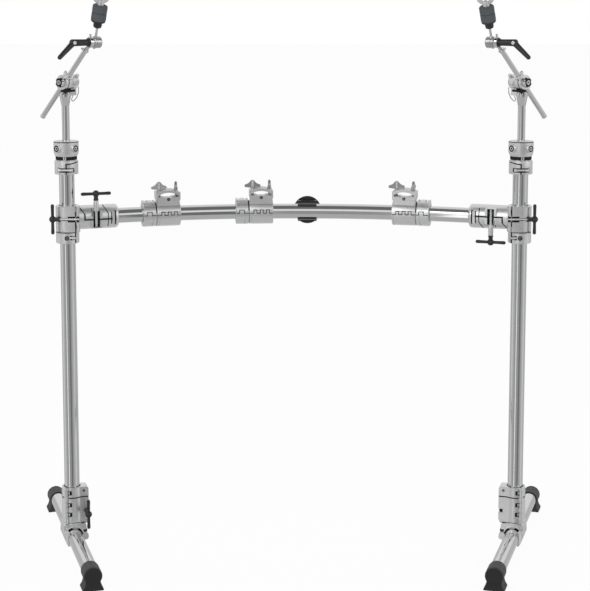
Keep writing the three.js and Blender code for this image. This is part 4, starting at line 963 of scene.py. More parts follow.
def base_door_form(handle_on_door):
    bottom = BASE.door_bottom + GAP
    lug = base_lug(bottom, BASE.lug_front, BASE.split_y)
    shell = soft_ring(BASE.outer, TUBE_BORE, bottom, BASE.top, BASE.corner) + lug
    seams = base_seam(-NEAR, BASE.lug_front + SEAM.deep)
    lines = [*hinge_lines(), rim_tool(BASE.top, 1)]
    # Painted shade: near-black filler in the door's seams, hinge lines and rim step
    dark = painted_shade(shell & door_wedge(-GAP / 2), *seams, *lines)
    door = (shell - rod(TUBE_BORE, 0, BASE.top + OVERRUN)) & door_wedge(-GAP / 2)
    if handle_on_door:
        way = at_base_bolt(along_minus_y(rod(GRIP.bolt + GAP, 0, FAR, SMALL_ROUND)))
        way = way + at_base_bolt(along_minus_y(rod(BASE.seat, -BASE.lug_front - BASE.seat_deep, FAR)))
    else:
        way = block(BASE.slot_start, BASE.slot_end, BASE.lug_front - OVERRUN, 0,
                    BASE.bolt_height - BASE.slot_half, BASE.bolt_height + BASE.slot_half)
    p = POCKET
    pockets = [block(p.left, p.right, -NEAR, p.back, centre - p.half, centre + p.half)
               for centre in BASE.centres]
    # Painted shade: near-black floors in the pockets, and a block under the door's lug
    pocket_shades = [block(p.left + p.ease, p.right - p.ease, p.front, p.back - p.ease,
                    centre - p.half + p.ease, centre + p.half - p.ease) for centre in BASE.centres]
    under = block(BASE.lug_inner, DOOR_SHADE.end, DOOR_SHADE.front, DOOR_SHADE.back, DOOR_SHADE.bottom, bottom + DOOR_SHADE.over)
    screw = along_minus_y(rod(BASE_KEY.well, BASE_KEY.floor, NEAR, SMALL_ROUND))
    screw = screw.moved(BASE_KEY.x, 0, BASE_KEY.height)
    door = without(door, way, *pockets, screw, *seams, *lines)
    return joined(door, *base_knuckles(True)), joined(dark, *pocket_shades, under)


def base_clamp_form(handle_on_door):
    s = SADDLE
    upper = joined(
        soft_ring(BASE.outer, TUBE_BORE, BASE.door_bottom, BASE.top, BASE.corner),
        base_lug(BASE.floor, BASE.split_y, BASE.lug_back),
        rounded_rod(BASE.collar, BASE.skirt, BASE.door_bottom, BASE.corner),
    )
    crown = along_y(rounded_rod(s.outer, -s.top_half, s.top_half, s.corner)).moved(z=BASE_AXIS)
    shoulders = upright(rounded_outline(s.left, s.right, s.low, s.high, s.shoulder_corner), s.left, -s.left)
    shoulders = shoulders & block(s.left, s.right, -s.top_half, s.top_half, s.shoulder_floor, s.shoulder_top)
    lobe = along_y(rounded_rod(s.outer, -s.lobe_half, s.lobe_half, s.corner)).moved(z=BASE_AXIS)
    lobe = lobe & plate(LOBE_PLAN[::-1], 0, BASE_AXIS + TUBE_RADIUS)
    j = JAW
    jaw_outline = rounded_outline(j.inner, j.outer, -j.top, -j.bottom, j.corner)
    side_jaw = joined(
        along_y(plate(jaw_outline, -j.half, j.half)),
        block(j.inner + j.step, j.outer - j.ease, j.bridge_from, j.half - j.step, j.bottom + j.bridge_rise,
              j.bridge_top),
        block(0, j.outer - j.ease, j.bridge_from, s.top_half - j.back_ease, BASE_AXIS, j.bridge_top),
    )
    casting = joined(upper, crown, shoulders, lobe, side_jaw)
    reach = s.lobe_half + OVERRUN
    bore = along_y(rod(TUBE_BORE, -reach, reach)).moved(z=BASE_AXIS)
    m = MOUTH
    mouths = [along_y(rod(m.radius, *span)).moved(z=BASE_AXIS)
              & block(m.left, m.right, -m.end, m.end, BASE_AXIS - m.down, m.top)
              for span in ((-m.end, -m.start), (m.start, m.end))]
    if handle_on_door:
        half = BASE.slot_half
        bolt_room = block(BASE.bolt_x - half, BASE.slot_end, BASE.split_y - OVERRUN, BASE.lug_back + OVERRUN,
                          BASE.bolt_height - half, BASE.bolt_height + half)
    else:
        way = rod(GRIP.bolt + GAP, BASE.bolt_way_front, BASE.bolt_way_back, SMALL_ROUND)
        seat = rod(BASE.seat, BASE.lug_back - BASE.seat_deep, BASE.bolt_way_back)
        bolt_room = at_base_bolt(along_y(way)) + at_base_bolt(along_y(seat))
    tools = [*base_seam(BASE.lug_back - SEAM.deep, NEAR), rim_tool(BASE.top, 1)]
    shaped = without(
        casting, rod(TUBE_BORE, BASE.floor, BASE.top + OVERRUN), bore, *mouths,
        block(-FAR, FAR, -reach, reach, s.cut_floor, s.cut_height), door_wedge(GAP / 2), bolt_room, *tools,
    )
    # Painted shade: near-black filler in the clamp's seams and rim step, with the shade in the mouths, the
    # jaw's gap and under the door
    dark = painted_shade(upper - door_wedge(GAP / 2), *tools)
    return joined(shaped, *base_knuckles(False)), dark + base_shade_form()


def base_shade_form():
    """Painted shade: near-black arcs over the tube at both ends of the saddle, a block in the jaw's gap, and
    a ring under the door.
    """
    b = BASE_SHADE
    room = block(b.left, b.right, -b.half, b.half, BASE_AXIS - b.down, b.top)
    room = room - block(b.gap_left, b.gap_right, -b.half, b.half, b.gap_low, b.gap_high)
    arcs = []
    for span in ((-b.end, -b.start), (b.start, b.end)):
        arc = along_y(ring(b.radius, TUBE_BORE + b.bore_ease, *span, TUBE_ROUND)).moved(z=BASE_AXIS)
        arcs.append(arc & room)
    j = JAW
    gap = block(j.inner - j.step, j.outer - j.gap_ease, j.gap_front, j.gap_back, j.top - j.back_ease,
                j.gap_top)
    top = BASE.door_bottom + GAP / 2
    under_door_shade = ring(BASE.outer - DOOR_SHADE.outer_ease, TUBE_BORE + DOOR_SHADE.bore_ease, DOOR_SHADE.ring_bottom, top)
    return joined(*arcs, gap, under_door_shade - block(-FAR, FAR, DOOR_SHADE.cut_back, FAR, DOOR_SHADE.low, DOOR_SHADE.high))


# T-handle: it points up +Z from its bolt tip, with its bar along X
def grip_form(ball_height, neck_start):
    g = GRIP
    half = g.length / 2
    left = [(radius, depth - half) for radius, depth in GRIP_END]
    right = [(radius, half - depth) for radius, depth in reversed(GRIP_END)]
    bar = along_x(lathe([*left, (g.middle, 0), *right], SMALL_ROUND)).moved(z=ball_height)
    foot = [(radius, neck_start + rise) for radius, rise in GRIP_NECK]
    neck = lathe([*foot, (g.neck_top, ball_height), (0, ball_height)], SMALL_ROUND)
    return joined(neck, ball(g.ball).moved(z=ball_height), bar)


def bolt_form(end, sleeve=None, radius=GRIP.bolt):
    """A chrome bolt whose tip is stepped down to the core of its thread, with a sleeve where it has one."""
    b = BOLT
    core = radius - b.thread
    bolt = lathe([(0, 0), (core - b.chamfer, 0), (core, b.chamfer_end), (core, b.step_start),
                  (radius, b.step_end),
                  (radius, end), (0, end)], SMALL_ROUND)
    if sleeve is None:
        return bolt
    return bolt + rounded_rod(GRIP.neck, *sleeve, b.corner, SMALL_ROUND)


# Bar clamp
def to_branch(form):
    return form.turned("Z", SPLAY)


def branch_form():
    """The sleeve over the bar's end, and the painted shade that fills its grooves and its handle's slot."""
    b = BRANCH
    ease = b.chamfer * b.chamfer_share
    sleeve = along_x(lathe([(0, b.start), (b.radius, b.start), (b.radius, b.end - b.chamfer),
                            (b.radius - ease, b.end - ease), (b.radius - b.chamfer, b.end), (0, b.end)]))
    lug_outline = rounded_outline(b.bolt - b.half, b.bolt + b.half, b.bottom, b.top, b.corner)
    lug = upright(lug_outline, b.front, b.inner)
    tab = upright(rounded_outline(TAB.start, TAB.end, TAB.bottom, TAB.top, TAB.corner), TAB.front, TAB.back)
    bore = along_x(rod(TUBE_BORE, b.bore_start, b.end + OVERRUN))
    mouth = along_x(lathe([(0, b.end - b.mouth), (TUBE_BORE + b.mouth_ease, b.end - b.mouth),
                           (TUBE_BORE + b.mouth_flare, b.end + b.mouth_over), (0, b.end + b.mouth_over)]))
    half = GRIP.neck + b.slot_ease
    slot = block(b.bolt - half, b.bolt + half, b.front - OVERRUN, -b.slot, b.floor, b.radius)
    handle_room = rod(half, b.handle_from - GAP, b.radius, SMALL_ROUND).moved(b.bolt, -b.depth)
    grooves = [groove_path(points, width, along_x(rod(b.radius - depth, 0, b.tool_end)))
               for points, width, depth in BRANCH_LINES]
    # Painted shade: a near-black block on the floor of the handle's slot
    floor = block(b.bolt - half + b.ease, b.bolt + half - b.ease, -b.slot - b.floor_deep,
                  -b.slot + b.floor_over, b.floor + b.floor_rise, b.handle_from)
    dark = to_branch(painted_shade(sleeve, *grooves) + floor)
    return to_branch(without(joined(sleeve, lug, tab), bore, mouth, slot, handle_room, *grooves)), dark


def clamp_rims():
    return [rim_tool(CLAMP.half, 1), rim_tool(-CLAMP.half, -1)]


def slot_shade(start, end):
    """Painted shade: a near-black block on the floor of the slot that the leg handle's bolt crosses."""
    c = CLAMP
    half = c.slot_half - GAP
    return block(start, end, c.front - c.floor_deep, c.front - GAP, -half, half)


def bar_clamp_form():
    c = CLAMP
    body, dark = branch_form()
    ring_part = soft_ring(c.outer, TUBE_BORE, -c.half, c.half, c.corner)
    ring_part = ring_part & block(GAP / 2, c.outer, c.front + GAP / 2, c.outer, -c.half, c.half)
    leg_lug = block(c.lug_start, c.lug_end, c.lug_front, -TUBE_RADIUS / 2, -c.half, c.half)
    leg_lug = leg_lug & plate(LUG_PLAN[::-1], -c.half, c.half)
    reach = c.half + OVERRUN
    shaped = without(
        joined(body, ring_part, leg_lug), rod(TUBE_BORE, -reach, reach), *clamp_rims(),
        block(-FAR, GAP / 2, -FAR, FAR, -reach, reach),
        block(-FAR, c.lip + c.lip_gap, -FAR, c.front + GAP / 2, -reach, reach),
        block(0, FAR, -FAR, c.front - GAP / 2, -c.slot_half, c.slot_half),
    )
    # Painted shade: a near-black block in the split at the door's lip, and on the slot's floor
    split = block(c.lip - c.split_in, c.lip + c.split_out, c.split_front, c.front - c.split_back,
                  -c.half + c.split_ease, c.half - c.split_ease)
    split = split - block(0, FAR, -FAR, 0, -c.slot_half, c.slot_half)
    knuckle = rounded_rod(c.knuckle, -c.knuckle_half, c.knuckle_half, KNUCKLE_CORNER, SMALL_ROUND)
    knuckle = knuckle.moved(y=c.hinge_y)
    web = block(GAP / 2, c.knuckle - LINK_EASE, c.hinge_y - c.link, c.hinge_y, -c.knuckle_half,
                c.knuckle_half)
    floor = slot_shade(c.lip + c.floor_from, c.lug_end - c.floor_ease)
    return joined(shaped, knuckle, web), joined(dark, floor, split)


def leg_door_form():
    c = CLAMP
    edge = c.lip - c.lip_over
    space = joined(
        block(-FAR, -GAP / 2, -FAR, FAR, -c.half, c.half),
        block(-FAR, edge, -FAR, c.front - GAP / 2, -c.half, c.half),
    )
    lip = plate(rounded_outline(-c.lip, edge, -c.outer, c.front + c.lip_depth, c.lip_corner), -c.half, c.half)
    lip = lip & block(0, FAR, -FAR, FAR, -FAR, FAR)
    shell = (soft_ring(c.outer, TUBE_BORE, -c.half, c.half, c.corner) + lip) & space
    ways = [along_x(rod(GRIP.bolt + GAP, -NEAR, NEAR, SMALL_ROUND)).moved(y=c.bolt_y),
            along_x(rod(GRIP.neck + TURN_GAP, -NEAR, c.neck_stop, SMALL_ROUND)).moved(y=c.bolt_y),
            block(c.slot_start, NEAR, -FAR, c.front, -c.slot_half, c.slot_half),
            block(c.way_start, c.slot_start + c.way_over, -FAR, c.bolt_y - c.way_over, -c.way_half,
                  c.way_half)]
    pieces = []
    for bottom, top in ((-c.knuckle_end, -c.knuckle_half - GAP), (c.knuckle_half + GAP, c.knuckle_end)):
        knuckle = rounded_rod(c.knuckle, bottom, top, KNUCKLE_CORNER, SMALL_ROUND)
        pieces.append(knuckle.moved(y=c.hinge_y))
        pieces.append(block(-c.knuckle + LINK_EASE, -GAP / 2, c.hinge_y - c.link, c.hinge_y,
                            bottom + LINK_EASE / 2, top - LINK_EASE / 2))
    rims = clamp_rims()
    # Painted shade: near-black on the slot's floor and in the rim steps
    dark = slot_shade(c.slot_start + c.floor_in, c.lip - c.floor_out) + painted_shade(shell, *rims)
    return joined(without(shell, *ways, *rims), *pieces), dark


def memory_lock_form():
    m = LOCK
    collar = soft_ring(m.outer, TUBE_BORE, 0, m.height, m.corner)
    slit = block(m.slit, m.slit + m.slit_width, -FAR, 0, -OVERRUN, m.height + OVERRUN)
    middle = m.height / 2
    channel = block(m.channel_start, FAR, -FAR, m.channel_back, middle - m.channel_half,
                    middle + m.channel_half)
    channel = channel - rod(TUBE_BORE + m.channel_core, m.low, NEAR)
    recess = along_minus_y(rod(m.recess, m.recess_floor, FAR, SMALL_ROUND)).moved(LOCK_SCREW.x, 0, middle)
    seam = seam_tool(m.outer, m.height - m.seam_down, m.seam_width, m.seam_deep)
    # Painted shade: a near-black ring in the channel, and filler in the slit and the seam
    bush = ring(m.bush, TUBE_BORE + m.bush_ease, middle - m.bush_half, middle + m.bush_half)
    bush = bush & block(m.bush_left, FAR, -FAR, m.bush_back, m.low, FAR)
    return without(collar, slit, channel, recess, seam), painted_shade(collar, slit, seam) + bush


# Top clamp
def key_boss(angle):
    """A boss with a key screw's well: the boss, the tool for the well, and the painted shade in the well, a
    near-black ring with a pin.
    """
    t = TOP
    w = WELL
    boss = rounded_rod(t.boss, 0, t.reach, t.boss_corner, SMALL_ROUND)
    well = ring(w.outer, w.inner, t.reach - w.deep, w.end, SMALL_ROUND)
    well = well + rod(w.hole, t.reach - w.hole_deep, w.end, SMALL_ROUND)
    washer = ring(w.washer, w.washer_bore, t.reach - w.washer_deep, t.reach - w.washer_top, SMALL_ROUND)
    washer = washer + rod(w.pin, t.reach - w.pin_deep, t.reach - w.pin_top, w.pin_sides)
    return [along_x(form).turned("Z", math.radians(angle)).moved(z=t.boss_height)
            for form in (boss, well, washer)]


def top_clamp_form():
    t = TOP
    head = lathe([(0, t.ring_top), (t.block - t.chamfer, t.ring_top), (t.block, t.ring_top + t.chamfer_end),
                  (t.block, t.top - t.corner), (t.block - t.corner, t.top), (0, t.top)])
    core = rod(t.ring - t.ring_ease, t.bottom + t.core_in, t.top - t.core_in)
    bosses = [key_boss(angle) for angle in t.angles]
    stack = [rounded_rod(t.collar, t.bottom, t.collar_top, t.collar_corner), core, head]
    stack += [boss for boss, well, washer in bosses]
    front = -FAR
    s = SLIT
    path = [(x, t.slit_top + rise) for x, rise in s.path]
    slits = [block(s.left, s.right, front, s.back, t.bottom - OVERRUN, t.slit_top + s.over),
             groove_path(path, s.width, rod(t.collar - s.core, t.bottom, t.top))]
    wells = [upright(rounded_outline(left, right, t.screw - half, t.screw + half, t.well_corner), front,
                     t.well_back)
             for left, right, half in COLLAR_WELLS]
    edge_line = seam_tool(t.block, t.top - t.edge_down, t.edge_width, t.edge_deep)
    tools = [rod(TUBE_BORE, t.bottom - OVERRUN, LEG_BOTTOM + LEG_LENGTH + GAP),
             rod(BOOM.post + GAP, t.bottom, t.top + OVERRUN), *[well for boss, well, washer in bosses],
             *slits, *wells, edge_line]
    # Painted shade: near-black filler in the collar's slits, a plate behind its wells, the rings in the
    # bosses' wells and the line round the block's top edge
    f = COLLAR_SHADE
    collar = ring(t.collar - f.ease, TUBE_BORE + f.bore_ease, t.bottom + f.rise, t.collar_top)
    floor_outline = rounded_outline(f.left, f.right, t.screw - f.half, t.screw + f.half, f.corner)
    floor = upright(floor_outline, f.front, f.back)
    dark = joined(painted_shade(collar, *slits) + floor, *[washer for boss, well, washer in bosses])
    return without(joined(*stack), *tools), dark + painted_shade(head, edge_line)


def top_screw_form():
    """The tension screw in the collar's channel, with its two ball seats and the tab over it."""
    t = TENSION
    low = TOP.collar_top - TOP.screw
    high = TOP.ring_top - TOP.screw
    shank = along_x(rod(t.shank, t.left, t.right, SMALL_ROUND))
    seats = [along_x(rounded_rod(t.seat, *span, t.corner, SMALL_ROUND)) for span in t.spans]
    tab = block(t.tab_left, t.tab_right, t.tab_front, t.tab_back, low + t.tab_low, high - t.tab_high)
    slot = block(t.slot_left, t.slot_right, t.slot_front, 0, low + t.slot_low, high + OVERRUN)
    return (joined(shank, *seats).moved(x=t.x) + (tab - slot)).moved(y=t.y, z=TOP.screw)


# Boom, in the frame of the tilter's pivot: the ratchet's axis is Y, its hub at -Y
def disc_form(radius, front, back, corner):
    return along_y(rounded_rod(radius, front, back, corner))


def boom_post_form():
    b = BOOM
    e = EAR
    top = -b.shade_bottom
    bottom = b.bottom - b.pivot
    post = lathe([(0, bottom), (b.post - b.post_ease, bottom), (b.post, bottom + b.post_ease),
                  (b.post, -b.taper), (b.post + b.post_ease, -b.taper + b.taper_rise),
                  (b.socket - b.socket_ease, -b.socket_bottom - b.socket_rise), (b.socket, -b.socket_bottom),
                  (b.socket, top - b.neck_down), (b.socket - b.neck, top), (0, top)])
    ear = joined(
        disc_form(e.radius, e.front, e.back, e.corner),
        block(-e.half, e.half, e.front + e.front_ease, e.back - e.back_ease, -b.socket_bottom, 0),
        block(-e.half, e.half, 0, e.back - e.back_ease, -b.socket_bottom + e.under, top),
        rod_between(e.lug_start, e.lug_end, e.lug, e.lug_tip),
    )
    hub = disc_form(e.hub, e.hub_start, e.hub_end, e.hub_corner)
    rim = disc_form(e.rim, e.hub_start, e.rim_end, e.rim_corner)
    return joined(post, ear, hub, rim)


def loop_wing_form():
    """Wing of the ratchet's bolt: a long bent wire loop that hangs down, and a short one above."""
    w = WIRE
    parts = []
    for loop in (LONG_LOOP, SHORT_LOOP):
        for (x0, z0), (x1, z1) in zip(loop, loop[1:]):
            start = Vector((x0, w.y, z0))
            end = Vector((x1, w.y, z1))
            parts.append(rod_between(start, end, w.radius, w.radius, w.sides))
            parts.append(ball(w.radius, w.sides).moved(x1, w.y, z1))
    return joined(*parts)


def ratchet_shade_form():
    """Painted shade: a near-black block between the socket and the ratchet."""
    s = SHADE
    return block(s.left, s.right, s.front, s.back, -BOOM.shade_bottom - s.under, s.top)


def on_lug(distance):
    """A point on the axis of the tilter head's key lug."""
    return HEAD_LUG.way * distance + Vector((0, HEAD_LUG.y, 0))


def tilter_head_form():
    h = HEAD
    lean = BOOM.lean
    disc = disc_form(h.radius, -h.front, h.back, h.corner)
    boss = rounded_rod(h.boss, -h.boss_length / 2, h.boss_length / 2, h.corner).turned("Y", lean)
    hub = disc_form(h.hub, -h.hub_end, 0, h.hub_corner)
    lug = rod_between(on_lug(0), on_lug(HEAD_LUG.length), HEAD_LUG.radius, HEAD_LUG.tip)
    bore = rod(ARM.radius + GAP, -FAR, FAR, SMALL_ROUND).turned("Y", lean)
    w = HEAD_WELL
    recess = along_y(ring(w.outer, w.inner, w.front, -h.hub_end + w.deep))
    notch = block(-w.notch_half, w.notch_half, w.front, -h.hub_end + w.notch_deep, w.notch_low, w.notch_high)
    notches = [notch.turned("Y", math.radians(turn)) for turn in w.turns]
    # Painted shade: a near-black ring in the hub's recess, and filler in the disc's groove
    dark = along_y(ring(w.bush, w.bush_bore, -h.hub_end + w.bush_front, -h.hub_end + w.bush_back))
    g = HEAD_GROOVES
    groove = along_y(seam_tool(h.radius, g.seam, g.seam_width, g.deep))
    teeth_groove = along_y(seam_tool(h.radius, h.back - g.teeth_in, g.teeth_width, g.deep))
    eyelet = along_minus_y(ring(EYELET.outer, EYELET.inner, h.front - EYELET.deep, EYELET.end, SMALL_ROUND))
    eyelet = eyelet.moved(EYELET.x, 0, EYELET.z)
    key_way = rod_between(on_lug(HEAD_LUG.key_start), on_lug(HEAD_LUG.key_end), HEAD_LUG.key, HEAD_LUG.key,
                          HEAD_LUG.key_sides)
    tools = [bore, recess, *notches, groove, teeth_groove, eyelet, key_way]
    return without(joined(disc, boss, hub, lug), *tools), dark + painted_shade(disc, groove)


def boom_arm_form(eye_turn):
    """The arm along the boom's lean, with its collar and lug, and the eye that turns by eye_turn round Z."""
    a = ARM
    stick_end = a.upper - a.neck_length
    stick = rod(a.radius, -a.lower, stick_end, SMALL_ROUND)
    cap = rounded_rod(a.cap, -a.lower - GAP, -a.lower + a.cap_length, a.cap_corner, SMALL_ROUND)
    collar = rounded_rod(a.collar, stick_end - a.collar_from, stick_end - a.collar_to, a.collar_corner,
                         SMALL_ROUND)
    height = stick_end - ARM_LUG.down
    lug = rod_between(Vector((0, 0, height)), Vector((ARM_LUG.x, ARM_LUG.y, height)), ARM_LUG.radius,
                      ARM_LUG.tip)
    straight = joined(stick, cap, collar, lug).turned("Y", BOOM.lean)
    along = Vector((math.sin(BOOM.lean), 0, math.cos(BOOM.lean)))
    axis = Vector((math.cos(eye_turn), math.sin(eye_turn), 0))
    in_plane = (along - axis * along.dot(axis)).normalized()
    centre = along * a.upper
    neck = rod_between(along * (stick_end - a.neck), centre + in_plane * (a.neck - a.eye), a.radius, a.neck)
    eye = along_x(rounded_rod(a.eye, -a.eye_half, a.eye_half, a.eye_corner)).turned("Z", eye_turn)
    e = EYE
    rim = along_x(ring(e.rim, e.rim_bore, e.rim_start, -a.eye_half + e.rim_deep)).turned("Z", eye_turn)
    stud = rod(e.stud, e.stud_start, e.stud_end, SMALL_ROUND)
    head = block(-e.key, e.key, -e.key_wide, e.key_wide, e.key_low, e.key_high).turned("Z", eye_turn)
    return joined(straight, neck, joined(eye - rim, stud, head).moved(*centre))


def barrel_form():
    return along_x(lathe(BARREL_PROFILE))


def spindle_form():
    return (lathe(SPINDLE_PROFILE, SMALL_ROUND) + lathe(SPINDLE_SEAT, SMALL_ROUND)).moved(x=BARREL.along)


def lever_corner():
    """Where the lever's arm leaves its hub."""
    return Vector((-LEVER.hub_end + LEVER.hub, 0, 0))


def lever_form():
    v = LEVER
    collar = along_x(rounded_rod(v.collar, -v.collar_end, -v.start, v.collar_corner))
    hub = along_x(lathe(LEVER_HUB))
    start = lever_corner()
    end = start + v.way.normalized() * (v.length - v.tip)
    grip = rod_between(start, end, v.thick, v.tip, SMALL_ROUND)
    return joined(collar, hub, ball(v.hub - v.ball_ease).moved(*start), grip, ball(v.tip).moved(*end))


def lever_cap_form():
    c = LEVER_CAP
    cap = rounded_rod(c.radius, c.start, c.end, c.corner, SMALL_ROUND)
    cap = cap - ring(c.groove, c.groove_bore, c.floor, c.reach, SMALL_ROUND)
    return along_minus_y(cap).moved(*lever_corner())


def felt_form(start, end):
    f = FELTS
    edges = rounded_ends(f.radius, start, end, f.soft, 5)
    return lathe([(f.bore, start + f.bore_ease), *edges, (f.bore, end - f.bore_ease)]).moved(x=BARREL.along)


def felt_seat_form():
    return lathe(FELT_SEAT_PROFILE).moved(x=BARREL.along)


def wing_nut_form():
    """The nut over the felts: a hub with two rounded ears."""
    n = NUT
    outline = NUT_EAR + [(-x, z) for x, z in reversed(NUT_EAR)]
    wings = lathe(NUT_PROFILE, SMALL_ROUND) + upright(outline, -n.thickness / 2, n.thickness / 2)
    bore = rod(BARREL.rod + GAP, n.bore_start, n.bore_end, SMALL_ROUND)
    return (wings - bore).moved(BARREL.along, 0, n.start)


# Accessory clamp, in the frame of the bar's axis at the clamp: X along the bar, Y away from the drummer
def bar_core(radius):
    """A long rod along the bar, to cut with."""
    return along_x(rod(radius, -FAR, FAR))


def knuckle_spans(on_door):
    width = MOUNT.half * MOUNT.width_share
    spans = []
    for share in MOUNT.shares:
        start = MOUNT.half * share + (0 if on_door else width)
        spans.append((start + GAP / 2, start + width - GAP / 2))
    return spans


def knuckle_line():
    """Tool for the stepped dark line under the block's knuckles and over the door's."""
    k = KNUCKLE_LINE
    points = [(-MOUNT.half - k.over, k.low)]
    for start, end in knuckle_spans(True):
        points += [(start, k.low), (start, k.high), (end, k.high), (end, k.low)]
    points.append((MOUNT.half + k.over, k.low))
    return groove_path(points, k.width, bar_core(MOUNT.radius - k.core_in))


def hinge_rod(radius, start, end):
    return along_x(rod(radius, start, end, SMALL_ROUND)).moved(y=MOUNT.hinge_y, z=MOUNT.hinge_z)


def mount_half(low, high):
    """The part between two heights of the round body along the bar."""
    m = MOUNT
    body = along_x(rounded_rod(m.radius, -m.half, m.half, m.corner))
    return body & block(-m.half, m.half, -m.radius, m.radius, low, high)


def mount_lug(low, high, start, end):
    """Lug behind the block or the door, between two heights."""
    m = MOUNT
    lug = upright(rounded_outline(-m.lug_half, m.lug_half, low, high, m.lug_corner), m.depth, m.lug_depth)
    return lug & block(-m.lug_past, m.lug_past, 0, FAR, start, end)


def mount_block_form():
    m = MOUNT
    left = [(-x, z) for x, z in reversed(WAIST_HALF)]
    waist = upright([(-m.half, GAP), (m.half, GAP), *WAIST_HALF, *left], -m.depth, m.depth)
    ways = [rod(m.bolt + GAP, m.bolt_bottom - GAP, m.top + m.way_over, SMALL_ROUND).moved(x)
            for x in (-m.bolt_x, m.bolt_x)]
    room = []
    for start, end in knuckle_spans(True):
        room.append(hinge_rod(m.knuckle + GAP, start - GAP, end + GAP))
        back = m.hinge_y + m.knuckle / 2 + GAP
        room.append(block(start - GAP, end + GAP, -FAR, back, m.knuckle_below, m.hinge_z))
    r = BLOCK_RIDGES
    ridges = [block(-FAR, FAR, -FAR, -m.depth + r.deep, height, height + r.width) for height in r.heights]
    s = BLOCK_SCREW
    screw = along_minus_y(rod(s.well, m.depth - s.floor, FAR, SMALL_ROUND)).moved(0, 0, s.height)
    body = without(joined(mount_half(GAP, m.radius), waist), bar_core(m.bore), *ways, *room, *ridges, screw)
    # Painted shade: a near-black block behind the front face, and a ring round the block's screw
    d = SHADOW
    dark = block(-m.half + d.inset, m.half - d.inset, d.front, d.back, d.low, d.high)
    dark = dark - bar_core(m.bore + d.bore_ease)
    socket = ring(s.ring, s.ring_bore, m.depth - s.screw_in, m.depth - s.ring_top, SMALL_ROUND)
    dark = dark + along_minus_y(socket).moved(0, 0, s.height)
    lug = mount_lug(-m.lug_past, m.lug_half, GAP, m.lug_reach)
    knuckles = [hinge_rod(m.knuckle, start, end) for start, end in knuckle_spans(False)]
    return joined(body, lug - bar_core(m.bore), *knuckles) - knuckle_line(), dark


def mount_door_form():
    m = MOUNT
    half = mount_half(-m.radius, -GAP)
    lug = mount_lug(-m.lug_half, m.lug_past, -m.lug_reach, -GAP)
    knuckles = []
    for start, end in knuckle_spans(True):
        knuckles.append(hinge_rod(m.knuckle, start, end))
        knuckles.append(block(start, end, m.hinge_y - m.tab_half, m.hinge_y + m.tab_half, -m.knuckle,
                              m.hinge_z))
    line = along_x(seam_tool(m.radius, -m.half + DOOR_LINE.inset, DOOR_LINE.width, DOOR_LINE.deep))
    return joined((half + lug) - bar_core(m.bore) - line, *knuckles) - knuckle_line()


def shifted(line, by):
    """A line of points in X and Z, moved up."""
    return [(x, z + by) for x, z in line]


def mount_cap_form():
    """Arched cap over a lens-shaped opening, with four bands across it."""
    m = MOUNT
    c = CAP
    under = []
    over = []
    for step in range(c.steps + 1):
        share = step / c.steps
        rise = 4 * share * (1 - share)
        x = -m.cap_half + 2 * m.cap_half * share
        under.append((x, m.floor + c.under_rise * rise))
        over.append((x, m.floor + c.thick + c.over_rise * rise))
    cap = upright(under + over[::-1], -m.depth, m.depth)
    feet = [block(x - c.foot_in, x + c.foot_out, -m.depth, m.depth, m.top + GAP, m.floor + c.foot_top)
            for x in (-m.cap_half, m.cap_half)]
    ways = []
    for x in (-m.bolt_x, m.bolt_x):
        ways.append(rod(m.bolt + GAP, m.top, c.way_end, SMALL_ROUND).moved(x))
        ways.append(rod(WING.hub + GAP * 2, m.seat, c.way_end, SMALL_ROUND).moved(x))
    band_outline = shifted(over, -c.band_deep) + shifted(over, c.band_over)[::-1]
    bands = [upright(band_outline, front, front + c.band_width) for front in c.bands]
    lips = upright(shifted(under, c.lip_low) + shifted(under, c.lip_high)[::-1], -NEAR, -m.depth + c.lip_deep)
    return without(joined(cap, *feet), *ways, *bands, lips)


def wing_bolt_form(turn):
    """Bolt with a peaked wing: two flat ears that rise to the middle."""
    seat = MOUNT.seat + GAP
    right = [(WING.half * x, WING.height * z) for x, z in PEAKED_WING_SHARES]
    outline = right + [(-x, z) for x, z in reversed(right)]
    wing = upright(outline, -WING.thickness / 2, WING.thickness / 2)
    hub = lathe(WING_HUB_PROFILE, SMALL_ROUND)
    top = (wing + hub).turned("Z", math.radians(turn)).moved(z=seat)
    return rod(MOUNT.bolt, MOUNT.bolt_bottom, seat + MOUNT.bolt_over, SMALL_ROUND) + top


